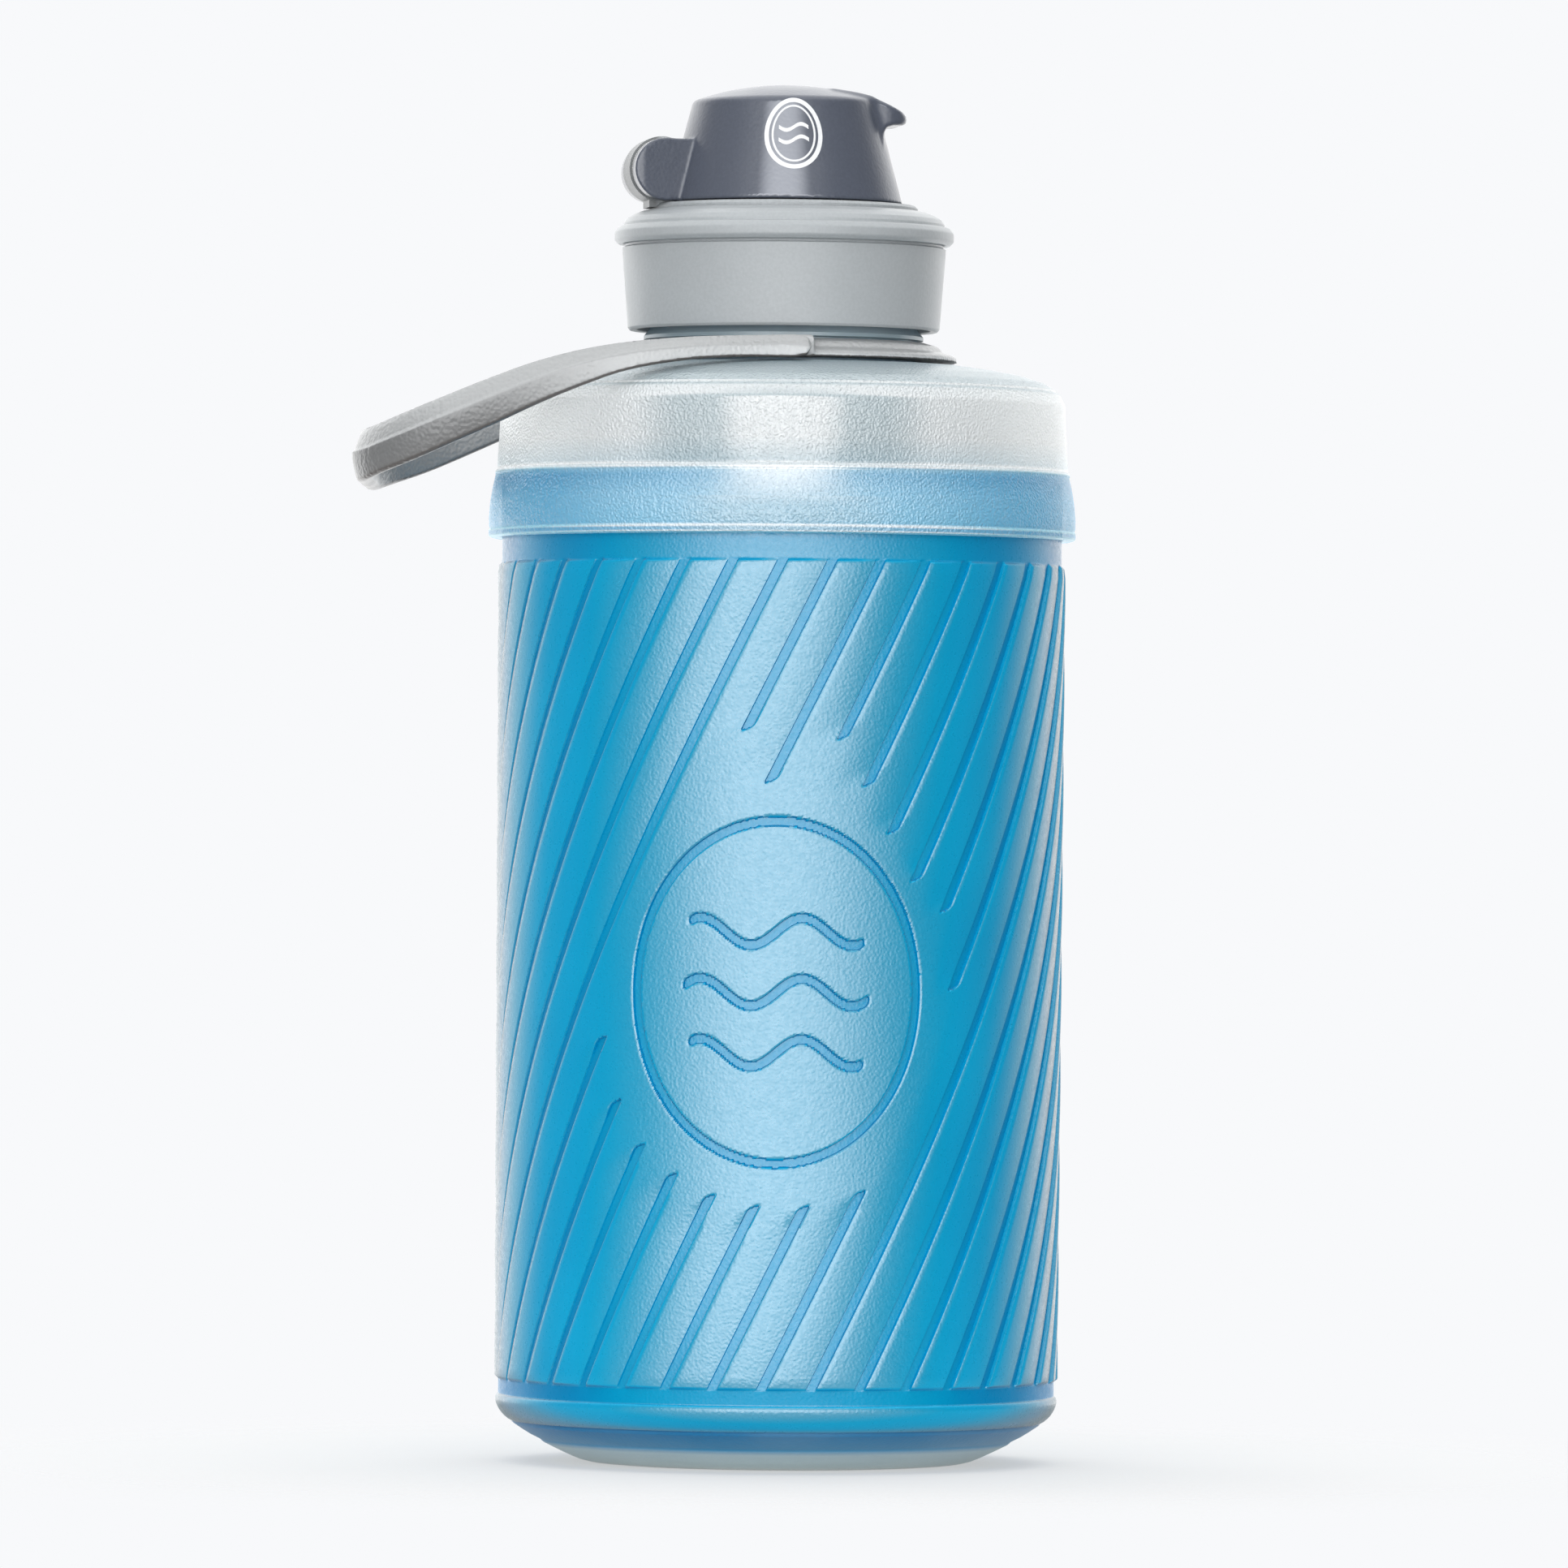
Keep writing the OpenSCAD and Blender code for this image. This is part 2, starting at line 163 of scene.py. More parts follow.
def crossing_means(values, cells):
    """Mean of the surface's crossings with each cell's edges, in cells."""
    total, hits = np.zeros((len(cells), 3)), np.zeros(len(cells))
    for axis in range(3):
        for corner in np.ndindex(2, 2, 2):
            if corner[axis]:
                continue
            start = cells + np.array(corner)
            end = start.copy()
            end[:, axis] += 1
            at_start, at_end = values[tuple(start.T)], values[tuple(end.T)]
            crossed = (at_start < 0) != (at_end < 0)
            share = np.where(crossed, at_start / np.where(crossed, at_start - at_end, 1), 0)
            point = np.tile(np.array(corner, float), (len(cells), 1))
            point[:, axis] = share
            total += point * crossed[:, None]
            hits += crossed
    return cells + total / hits[:, None]


def pull_onto(field, points, cell):
    """Moves points down the field's slope onto the surface, each staying close to its cell."""
    home, probe = points, cell * 0.05
    for _ in range(4):
        value = field(*points.T)
        shifts = np.eye(3) * probe
        slope = [field(*(points + shift).T) - field(*(points - shift).T) for shift in shifts]
        slope = np.stack(slope, -1) / (2 * probe)
        move = slope * (value / np.maximum((slope**2).sum(1), 0.05))[:, None]
        length = np.maximum(np.linalg.norm(move, axis=1), 1e-9)
        move *= np.minimum(1, 0.5 * cell / length)[:, None]
        points = home + np.clip(points - move - home, -0.75 * cell, 0.75 * cell)
    return points


def cell_quads(inside, index):
    """A quad of cell points round each grid edge that the surface crosses."""
    quads = []
    for axis in range(3):
        others = [other for other in range(3) if other != axis]
        start = [slice(1, count - 1) for count in inside.shape]
        end = list(start)
        start[axis], end[axis] = slice(0, -1), slice(1, None)
        start_inside = inside[tuple(start)]
        crossed = start_inside != inside[tuple(end)]
        base = np.argwhere(crossed)
        base[:, others] += 1
        corners = []
        for shift in ((0, 0), (-1, 0), (-1, -1), (0, -1)):
            point = base.copy()
            point[:, others] += shift
            corners.append(index[tuple(point.T)])
        quad = np.stack(corners, -1)
        turn_over = start_inside[crossed] == (axis == 1)
        quad[turn_over] = quad[turn_over][:, ::-1]
        quads.append(quad)
    return np.vstack(quads)


def turned(points, yaw):
    x, y, z = points.T
    cos, sin = math.cos(yaw), math.sin(yaw)
    return np.stack([x * cos - y * sin, x * sin + y * cos, z], -1)


def surface(name, field, low, high, cell, yaw=0.0):
    """Closed surface where the field is zero, negative inside: one point per crossed cell."""
    axes = [np.arange(low[i] - 2 * cell, high[i] + 3 * cell, cell) for i in range(3)]
    values = sample_field(field, axes, cell)
    inside = values < 0
    shape = [count - 1 for count in inside.shape]
    corners_inside = np.zeros(shape, np.int8)
    for corner in np.ndindex(2, 2, 2):
        corners_inside += inside[tuple(slice(c, c + size) for c, size in zip(corner, shape))]
    crossed = (corners_inside > 0) & (corners_inside < 8)
    index = -np.ones(shape, np.int64)
    index[crossed] = np.arange(crossed.sum())
    origin = np.array([axis[0] for axis in axes])
    points = crossing_means(values, np.argwhere(crossed)) * cell + origin
    points = pull_onto(field, points, cell)
    return add_mesh(name, turned(points, yaw), cell_quads(inside, index))


def smooth_min(first, second, blend):
    share = np.clip(0.5 + 0.5 * (second - first) / blend, 0, 1)
    return second * (1 - share) + first * share - blend * share * (1 - share)


def smooth_max(first, second, blend):
    return -smooth_min(-first, -second, blend)


def outline_distance(outline, x, y):
    """Signed distance to a closed 2-D outline, negative inside."""
    outline = np.asarray(outline, float)
    nearest = np.full(x.shape, 1e9)
    inside = np.zeros(x.shape, bool)
    for k, start in enumerate(outline):
        end = outline[(k + 1) % len(outline)]
        run, rise = end - start
        from_x, from_y = x - start[0], y - start[1]
        t = np.clip((from_x * run + from_y * rise) / (run * run + rise * rise), 0, 1)
        nearest = np.minimum(nearest, (from_x - t * run) ** 2 + (from_y - t * rise) ** 2)
        if start[1] != end[1]:
            spans = (start[1] > y) != (end[1] > y)
            inside ^= spans & (x < run * from_y / rise + start[0])
    return np.where(inside, -1, 1) * np.sqrt(nearest)


def box_distance(x, y, centre, half, corner):
    """Signed distance to a rectangle with rounded corners."""
    beyond_x = np.abs(x - centre[0]) - half[0] + corner
    beyond_y = np.abs(y - centre[1]) - half[1] + corner
    outside = np.hypot(np.maximum(beyond_x, 0), np.maximum(beyond_y, 0))
    return outside + np.minimum(np.maximum(beyond_x, beyond_y), 0) - corner


def smoothstep(value, start, end):
    t = np.clip((value - start) / (end - start), 0, 1)
    return t * t * (3 - 2 * t)


# ---------------------------------------------------------------- shader nodes
def srgb(*channels):
    """Linear colour from 0-255 sRGB channels."""
    shares = [channel / 255 for channel in channels]
    linear = [s / 12.92 if s <= 0.04045 else ((s + 0.055) / 1.055) ** 2.4 for s in shares]
    return (*linear, 1.0)


def scaled(colour, factor):
    """A colour times one factor, or one for each channel."""
    return (*np.multiply(colour[:3], factor), 1)


class Nodes:
    """An emptied node tree and short ways to add to it. Any input may be a value or a socket."""

    def __init__(self, owner):
        owner.use_nodes = True
        self.owner, self.tree = owner, owner.node_tree
        self.tree.nodes.clear()

    def feed(self, socket, value):
        if isinstance(value, bpy.types.NodeSocket):
            self.tree.links.new(value, socket)
        else:
            socket.default_value = value

    def add(self, kind, inputs=None, **settings):
        node = self.tree.nodes.new(kind)
        for name, value in settings.items():
            setattr(node, name, value)
        for key, value in (inputs or {}).items():
            self.feed(node.inputs[key], value)
        return node

    def coord(self, space="Object"):
        return self.add("ShaderNodeTexCoord").outputs[space]

    def normal(self):
        return self.add("ShaderNodeNewGeometry").outputs["Normal"]

    def facing(self):
        """0 where the surface faces the viewer, 1 at its rim."""
        return self.add("ShaderNodeLayerWeight", {"Blend": 0.5}).outputs["Facing"]

    def part(self, vector, axis):
        return self.add("ShaderNodeSeparateXYZ", {0: vector}).outputs[axis]

    def mix(self, share, first, second, blend="MIX"):
        inputs = {0: share, 6: first, 7: second}
        return self.add("ShaderNodeMix", inputs, data_type="RGBA", blend_type=blend).outputs[2]

    def mix_shader(self, share, first, second):
        return self.add("ShaderNodeMixShader", {0: share, 1: first, 2: second}).outputs[0]

    def math(self, operation, first, second=0.0):
        return self.add("ShaderNodeMath", {0: first, 1: second}, operation=operation).outputs[0]

    def product(self, first, *others):
        for other in others:
            first = self.math("MULTIPLY", first, other)
        return first

    def ease(self, value, over, to=(0.0, 1.0)):
        """Runs smoothly from to[0] to to[1] while the value crosses over."""
        inputs = dict(enumerate((value, *over, *to)))
        return self.add("ShaderNodeMapRange", inputs, interpolation_type="SMOOTHSTEP").outputs[0]

    def noise(self, coord, scale, detail=2.0, rough=0.5):
        inputs = {"Scale": scale, "Detail": detail, "Roughness": rough, "Vector": coord}
        return self.add("ShaderNodeTexNoise", inputs).outputs["Fac"]

    def bump(self, height, strength, distance, normal=None):
        inputs = {"Strength": strength, "Distance": distance, "Height": height}
        if normal is not None:
            inputs["Normal"] = normal
        return self.add("ShaderNodeBump", inputs).outputs["Normal"]

    def principled(self, inputs):
        return self.add("ShaderNodeBsdfPrincipled", inputs).outputs[0]

    def finish(self, shader, kind="ShaderNodeOutputMaterial"):
        self.add(kind, {"Surface": shader})
        return self.owner


def new_material(name):
    return Nodes(bpy.data.materials.new(name))


# ---------------------------------------------------------------- moulded plastics
def plastic(
    name, colour, rough, grain, strength, speckle, spec=0.5, relief=0.00008, tint=None, glow=None
):
    """Moulded plastic: fine grain, faint mottling, slightly uneven gloss."""
    tree = new_material(name)
    coord = tree.coord()
    fine = tree.noise(coord, scale=grain, detail=3.0, rough=0.6)
    broad = tree.noise(coord, scale=55.0, detail=3.0)
    middle = tree.noise(coord, scale=grain * 0.45)
    grains = tree.ease(fine, over=(0.35, 0.65))
    shown = tree.mix(grains, scaled(colour, 1 - speckle), scaled(colour, 1 + speckle))
    mottle = tree.ease(broad, over=(0.3, 0.7), to=(0.0, 0.10))
    shown = tree.mix(mottle, shown, scaled(colour, 0.8))
    # a tint paints light and shade into the colour, where given
    if tint:
        shown = tint(tree, coord, colour, shown)
    skin = tree.bump(middle, strength, relief)
    pores = tree.noise(coord, scale=grain * 0.9, detail=0.0)
    inputs = {
        "Specular IOR Level": spec,
        "Base Color": shown,
        "Roughness": tree.ease(broad, over=(0.3, 0.7), to=(rough - 0.04, rough + 0.05)),
        "Normal": tree.bump(pores, strength, relief * 0.8, skin),
    }
    # a glow adds emission, here a painted highlight, where given
    if glow:
        inputs.update(glow(tree, coord))
    return tree.finish(tree.principled(inputs))


def handle_painted_light(tree, coord, colour, shown):
    """Painted shade on faces that look down, painted light on faces that look up, and on upright faces
    a painted sheen and a darkening.
    """
    normal_z = tree.part(tree.normal(), "Z")
    down = tree.ease(normal_z, over=(-0.55, 0.0), to=(1.0, 0.0))
    up = tree.ease(normal_z, over=(0.0, 0.40))
    # painted shade on faces that look down, painted light on faces that look up
    shown = tree.mix(down, shown, scaled(colour, (0.40, 0.36, 0.34)))
    shown = tree.mix(up, shown, scaled(colour, 1.42))
    # upright faces get a painted sheen towards the pivots and are darker towards the far end
    x = tree.part(coord, "X")
    upright = tree.ease(tree.math("ABSOLUTE", normal_z), over=(0.15, 0.42), to=(1.0, 0.0))
    painted_sheen = tree.product(upright, tree.ease(x, over=(-0.044, -0.016)))
    shown = tree.mix(painted_sheen, shown, scaled(colour, 1.9))
    far_darkening = tree.product(upright, tree.ease(x, over=(-0.0600, -0.034), to=(1.0, 0.0)))
    return tree.mix(far_darkening, shown, scaled(colour, 0.62))


def knuckle_painted_shade(tree, coord, colour, shown):
    """Painted shade: darker grey on the hinge knuckle, at the -X end."""
    knuckle_x = -0.0175
    over = (knuckle_x - 0.001, knuckle_x)
    knuckle = tree.ease(tree.part(coord, "X"), over=over, to=(1.0, 0.0))
    # painted shade on the knuckle
    return tree.mix(knuckle, shown, scaled(colour, 0.42))


def lid_painted_glint(tree, coord):
    """Painted highlight: emission in an upright streak on the leaning wall, standing in for a tall
    light beside the viewer.
    """
    x = tree.part(coord, "X")
    normal_z = tree.part(tree.coord("Normal"), "Z")
    face = tree.facing()
    streak = tree.product(
        tree.ease(face, over=(0.047, 0.078), to=(0.30, 0.0)),
        tree.ease(face, over=(0.0001, 0.0006)),
        tree.ease(x, over=(-0.0090, -0.0080)),
        tree.ease(normal_z, over=(0.30, 0.45), to=(1.0, 0.0)),
        tree.ease(normal_z, over=(0.10, 0.18)),
    )
    # the painted highlight is given as emission
    return {"Emission Strength": streak, "Emission Color": srgb(240, 243, 250)}


# ---------------------------------------------------------------- soft blue plastic
def waxy_tint(tree, side):
    """White straight on and at the rim, the plastic's own colour in between."""
    face = tree.facing()
    rise = tree.ease(face, over=(0.02, 0.23))
    between = tree.product(rise, tree.ease(face, over=(0.58, 0.82), to=(1.0, 0.0)))
    return tree.mix(between, (1, 1, 1, 1), side)


def tpu_blue():
    """Soft blue plastic: orange-peel skin, duller grooves, and painted light: shade straight on and in
    the grooves, a grey reflection at the rim.

    The mesh's recess attribute is 0 on the lands, 1 in the grooves and 2 in the dullest bands.
    """
    tree = new_material("tpu_blue")
    coord = tree.coord()
    recess = tree.add("ShaderNodeAttribute", attribute_name="recess").outputs["Fac"]
    broad = tree.ease(tree.noise(coord, scale=38.0), over=(0.3, 0.7))
    land = tree.mix(broad, srgb(0, 150, 199), srgb(0, 158, 206))
    face = tree.facing()
    # painted light by the angle of view: darker straight on, a painted grey reflection of the backdrop
    # towards the rim
    land = tree.mix(tree.ease(face, over=(0.02, 0.30)), srgb(0, 142, 178), land)
    land = tree.mix(tree.ease(face, over=(0.36, 0.66)), land, srgb(88, 138, 168))
    land = tree.mix(tree.ease(face, over=(0.66, 0.90)), land, srgb(78, 110, 124))
    # painted shade in the grooves, darker still where they turn away
    turned_away = tree.ease(face, over=(0.10, 0.35))
    groove = tree.mix(turned_away, srgb(0, 147, 190), srgb(0, 129, 182))
    shine = tree.math(
        "SUBTRACT",
        tree.ease(recess, over=(0.0, 1.0), to=(1.0, 0.48)),
        tree.ease(recess, over=(1.0, 2.0), to=(0.0, 0.36)),
    )
    shine = tree.product(shine, tree.ease(face, over=(0.45, 0.80), to=(1.0, 0.40)))
    peel = tree.bump(tree.noise(coord, scale=2400.0, detail=0.0), 1.0, distance=0.000046)
    fine = tree.noise(coord, scale=3600.0, detail=0.0)
    skin = tree.bump(fine, 0.5, distance=0.000020, normal=peel)
    flatten = tree.ease(face, over=(0.06, 0.30), to=(1.0, 0.3))
    for bump in (peel, skin):  # the skin reads flatter towards the rim
        strength = bump.node.inputs["Strength"]
        tree.feed(strength, tree.product(flatten, strength.default_value))
    gloss = tree.noise(coord, scale=1500.0, detail=1.0)
    shader = tree.add("ShaderNodeBsdfPrincipled", {"Base Color": (0, 0.3, 0.6, 1), "IOR": 1.72})
    inputs = {
        "Base Color": tree.mix(recess, land, groove),
        "Specular Tint": waxy_tint(tree, side=(0.10, 0.80, 1.0, 1)),
        "Specular IOR Level": shine,
        "Normal": skin,
        "Roughness": tree.ease(gloss, over=(0.3, 0.7), to=(0.27, 0.36)),
    }
    for name, value in inputs.items():
        tree.feed(shader.inputs[name], value)
    return tree.finish(shader.outputs[0])


# ---------------------------------------------------------------- frosted clear plastic
def shoulder_light(tree, z, shown):
    """Painted light and shade in the shoulder's wall and flange; gives the colour and the emission
    inputs.
    """

    def filtered(colour):
        return tree.mix(1.0, shown, colour, blend="MULTIPLY")

    face = tree.facing()
    step_over = ((SHOULDER_STEP - 0.1) * MM, (SHOULDER_STEP + 0.4) * MM)
    upper = tree.ease(z, over=step_over)
    lower = tree.math("SUBTRACT", 1.0, upper)
    # painted: darker and bluer towards the flange's rim, standing in for the blue sleeve seen through
    # it
    deep = tree.product(lower, tree.ease(face, over=(0.12, 0.50), to=(0.0, 0.9)))
    shown = tree.mix(deep, shown, filtered((0.28, 0.74, 0.90, 1)))
    # painted shade: greyer beside the bright middle, and on the faces that look up
    up = tree.ease(tree.part(tree.normal(), "Z"), over=(0.30, 0.85))
    beside = tree.product(
        tree.ease(face, over=(0.010, 0.035)), tree.ease(face, over=(0.06, 0.17), to=(1.0, 0.0))
    )
    grey = tree.product(upper, tree.math("MAXIMUM", up, beside))
    shown = tree.mix(grey, shown, filtered((0.60, 0.68, 0.71, 1)))
    # painted highlight: paler where the flange faces the viewer
    pale = tree.product(lower, tree.ease(face, over=(0.0, 0.10), to=(0.6, 0.0)))
    shown = tree.mix(pale, shown, srgb(188, 213, 222))
    # painted highlight: a bright spot in the middle of the flange, partly as emission
    flange = ((SHOULDER_STEP - 6.0) * MM, SHOULDER_STEP * MM)
    hot = tree.product(
        tree.ease(z, over=flange, to=(0.0, 0.95)),
        tree.ease(face, over=(0.001, 0.060), to=(1.0, 0.0)),
        tree.ease(face, over=(0.0001, 0.0004)),
    )
    hot = tree.product(lower, hot)
    shown = tree.mix(hot, shown, srgb(250, 252, 254))
    # painted glow, as emission, at the sides, standing in for light carried along inside the clear
    # wall
    glow = tree.product(upper, tree.ease(face, over=(0.05, 0.60), to=(0.0, 0.21)))
    glow = tree.product(glow, tree.math("SUBTRACT", 1.0, up))
    strength = tree.math("ADD", glow, tree.product(hot, 0.40))
    return shown, {"Emission Strength": strength, "Emission Color": srgb(242, 242, 238)}


def frosted(
    name, tint, bands, through, rough=0.30, grain=1900.0, strength=1.0, spec=1.0, ior=1.7,
    relief=0.00010, light=None,
):  # fmt: skip
    """Frosted clear soft plastic.

    bands has rows of height in mm, sRGB red, green, blue, and opacity; through is the share of
    light that passes into the body.
    """
    tree = new_material(name)
    coord = tree.coord()
    z = tree.part(coord, "Z")
    low, high = bands[0][0], bands[-1][0]
    height_range = {0: z, 1: low * MM, 2: high * MM, 3: 0.0, 4: 1.0}
    height = tree.add("ShaderNodeMapRange", height_range).outputs[0]
    ramp = tree.add("ShaderNodeValToRGB", {0: height})
    elements = ramp.color_ramp.elements
    while len(elements) < len(bands):
        elements.new(0.5)
    for element, (band_z, red, green, blue, opacity) in zip(elements, bands):
        element.position = (band_z - low) / (high - low)
        element.color = (*srgb(red, green, blue)[:3], opacity)
    mottle = tree.ease(tree.noise(coord, scale=45.0), over=(0.3, 0.7), to=(0.0, 0.12))
    shown = tree.mix(mottle, ramp.outputs["Color"], tint)
    emission = {}
    if light:
        shown, emission = light(tree, z, shown)
    coarse = tree.bump(tree.noise(coord, scale=grain, detail=0.0), strength, relief)
    fine = tree.noise(coord, scale=grain * 1.8, detail=0.0)
    skin = tree.bump(fine, strength * 0.6, relief * 0.5, coarse)
    inputs = {
        "Roughness": rough,
        "Specular IOR Level": spec,
        "IOR": ior,
        "Base Color": shown,
        "Normal": skin,
    }
    solid = tree.principled(inputs | emission)
    lit = tree.add("ShaderNodeBsdfTranslucent", {"Color": shown, "Normal": skin}).outputs[0]
    body = tree.mix_shader(through, solid, lit)
    # faces seen from behind are clear, and the rim is nearly solid
    clear = tree.add("ShaderNodeBsdfTransparent").outputs[0]
    back = tree.add("ShaderNodeNewGeometry").outputs["Backfacing"]
    rim = tree.ease(tree.facing(), over=(0.45, 0.80), to=(0.0, 0.98))
    thick = tree.math("MAXIMUM", ramp.outputs["Alpha"], rim)
    opacity = tree.product(thick, tree.math("SUBTRACT", 1.0, back))
    return tree.finish(tree.mix_shader(opacity, clear, body))


def brushed(name, colour):
    """Metal with fine streaks along Y."""
    tree = new_material(name)
    stretch = {"Scale": (4000.0, 120.0, 4000.0), "Vector": tree.coord()}
    stretched = tree.add("ShaderNodeMapping", stretch).outputs[0]
    streaks = tree.noise(stretched, scale=1.0, detail=3.0, rough=0.6)
    inputs = {
        "Metallic": 1.0,
        "Base Color": tree.mix(streaks, scaled(colour, 0.85), colour),
        "Roughness": tree.ease(streaks, over=(0.3, 0.7), to=(0.22, 0.36)),
        "Normal": tree.bump(streaks, strength=0.2, distance=0.00002),
    }
    return tree.finish(tree.principled(inputs))


# Height, sRGB red, green, blue, opacity.
# The near-white rows from 131.95 to 133.1 mm and from 141.3 to 141.75 mm are painted highlights on the
# lip's edges and on the step.
SHOULDER_BANDS = [
    (131.7, 150, 205, 236, 0.80),
    (131.95, 246, 250, 252, 0.95),
    (132.2, 240, 247, 250, 0.95),
    (132.35, 130, 198, 232, 0.85),
    (132.7, 130, 198, 232, 0.85),
    (132.85, 246, 250, 252, 0.95),
    (133.1, 246, 250, 252, 0.95),
    (133.3, 138, 212, 244, 0.88),
    (137.0, 142, 210, 242, 0.88),
    (140.2, 110, 184, 222, 0.90),
    (141.05, 150, 205, 232, 0.92),
    (141.3, 248, 250, 251, 0.97),
    (141.75, 246, 250, 252, 0.95),
    (142.2, 204, 222, 230, 0.84),
    (145.5, 226, 231, 233, 0.94),
    (151.5, 228, 233, 235, 0.97),
    (153.4, 228, 233, 235, 0.97),
    (155.6, 214, 221, 224, 0.93),
    (157.0, 196, 210, 218, 0.84),
]
# The dark blue rows from 3.1 to 6.2 mm are painted shade under the sleeve's bead, tinted by the blue
# sleeve above.
BASE_BANDS = [
    (0.0, 244, 252, 248, 0.94),
    (0.5, 216, 236, 238, 0.94),
    (2.4, 206, 232, 240, 0.96),
    (3.1, 64, 156, 204, 0.98),
    (5.4, 20, 126, 182, 0.99),
    (6.2, 10, 122, 180, 1.0),
    (14.2, 150, 190, 205, 0.9),
]
NECK_BANDS = [
    (150.0, 206, 226, 234, 0.94),
    (160.5, 196, 220, 230, 0.94),
    (163.0, 222, 232, 236, 0.94),
    (176.0, 222, 232, 236, 0.94),
]

BLUE = tpu_blue()
SHOULDER = frosted(
    "tpu_frosted_shoulder", srgb(238, 242, 243), SHOULDER_BANDS,
    through=0.18, grain=2800.0, relief=0.00021, rough=0.26, light=shoulder_light,
)  # fmt: skip
BASE = frosted(
    "tpu_frosted_base", srgb(190, 214, 220), BASE_BANDS,
    through=0.2, strength=0.4, spec=0.5, ior=1.5,
)  # fmt: skip
NECK = frosted(
    "neck_translucent", srgb(190, 214, 226), NECK_BANDS,
    through=0.5, rough=0.25, strength=0.3, relief=0.00005,
)  # fmt: skip
CAP_GREY = plastic(
    "cap_grey", srgb(166, 171, 174), rough=0.38, grain=2200.0, strength=0.25, speckle=0.03
)
SPOUT_GREY = plastic(
    "spout_grey", srgb(160, 165, 168), rough=0.45, grain=1700.0, strength=0.20, speckle=0.07,
    tint=knuckle_painted_shade,
)  # fmt: skip
HANDLE_GREY = plastic(
    "handle_grey", srgb(143, 145, 146), rough=0.34, grain=2200.0, strength=1.0, speckle=0.03,
    spec=0.6, relief=0.00011, tint=handle_painted_light,
)  # fmt: skip
LID_SLATE = plastic(
    "lid_slate", srgb(76, 82, 95), rough=0.32, grain=2300.0, strength=0.28, speckle=0.05,
    spec=0.85, glow=lid_painted_glint,
)  # fmt: skip
SILICONE = plastic(
    "silicone_white", srgb(222, 222, 218), rough=0.55, grain=1300.0, strength=0.12,
    speckle=0.03, spec=0.4,
)  # fmt: skip
BLACK = plastic(
    "o_ring_black", srgb(38, 38, 40), rough=0.5, grain=1500.0, strength=0.15, speckle=0.10,
    spec=0.4,
)  # fmt: skip
WHITE = plastic(
    "washer_white", srgb(226, 226, 224), rough=0.30, grain=1800.0, strength=0.06, speckle=0.03
)
STEEL = brushed("pin_steel", srgb(200, 200, 202))
PRINT = plastic(
    "badge_print", srgb(232, 234, 236), rough=0.30, grain=2600.0, strength=0.05, speckle=0.03
)


def assign(ob, material):
    ob.data.materials.clear()
    ob.data.materials.append(material)


def dress(ob, material, replaces=None):
    assign(ob, material)
    if replaces:
        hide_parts(replaces)


# ---------------------------------------------------------------- ribbed sleeve
# Headings are in degrees, 0 at -Y and 90 at +X. The grooves are 10 degrees apart.
SLOPE = 0.7155  # degrees of turn per mm of height
GROOVE_FOOT = 11.9  # height at which a groove has its nominal heading
RIB_LOW, RIB_TOP = 12.0, 128.3
# Heading of a groove: heights where it stops below the emblem and starts again above it.
GROOVE_GAPS = {
    -73: (61.1, 104.4), -63: (52.2, 97.1), -53: (46.1, 103.2), -43: (42.0, 96.7),
    -33: (39.1, 90.1), -23: (37.6, 83.4), -13: (37.6, 79.1), -3: (39.7, 68.1),
}  # fmt: skip
MEAN_RADIUS = 40.45
DEGREE = math.radians(1) * MEAN_RADIUS  # mm round the sleeve in one degree
ACROSS = DEGREE * math.cos(math.radians(26.8))  # mm across the grooves in one degree
GROOVE_HALF, GROOVE_DEPTH = 0.70, 0.56
GROOVE_END_RADIUS = 0.45
LIP_DEPTH = 0.11  # depth of the worn lip along a groove
LEVELS = (-0.11, 0.0, 0.20)  # foot of the wall, top of the wall, outer edge of the lip
FINE = 4  # parts along each side of a finely split cell
FOOT_RADIUS, TOP_RADIUS = 39.75, 40.02  # outside of the sleeve at its two splits
SLEEVE_HEIGHTS = np.concatenate([
    [11.76, 11.86, 11.98, 12.12, 12.3],
    np.arange(13.6, 36.5, 2.1),
    np.arange(37.0, 105.6, 1.0),
    np.arange(107, 125.0, 2.1),
    [126.0, 126.6, 127.2, 127.7, 127.95, 128.1, 128.22, 128.34, 128.44],
])  # fmt: skip
# Inside of the sleeve from the top down: r, z.
SLEEVE_INSIDE = [
    (39.07, SPLIT_TOP),
    *[(39.3 - 0.1 * t, 122.0 - 104.0 * t) for t in np.linspace(0, 1, 16)],
    (39.2, 14.4),
    (39.2, SPLIT_LOW),
]


def lean(z):
    """Degrees that a groove has turned at a height."""
    return SLOPE * (z - GROOVE_FOOT)


def wrap(heading):
    return (heading + 180) % 360 - 180


def sleeve_columns():
    """Headings of the columns and of each one's groove; groove edges fall on columns."""
    edges = [v / ACROSS for v in (-0.90, -0.70, -0.59, 0.0, 0.59, 0.70, 0.90)]
    columns, grooves = [], []
    for k in range(36):
        groove = -3 + 10 * k - 180
        land = [2.5, 4.0, 5.6, 7.1]
        if -93.5 <= groove <= 7.5:  # closer columns round the emblem
            land = [2.3, 3.2, 4.1, 5.0, 5.9, 6.8, 7.7]
        for offset in edges + land:
            columns.append(groove + offset)
            grooves.append(groove)
    return np.array(columns), np.array(grooves, float)


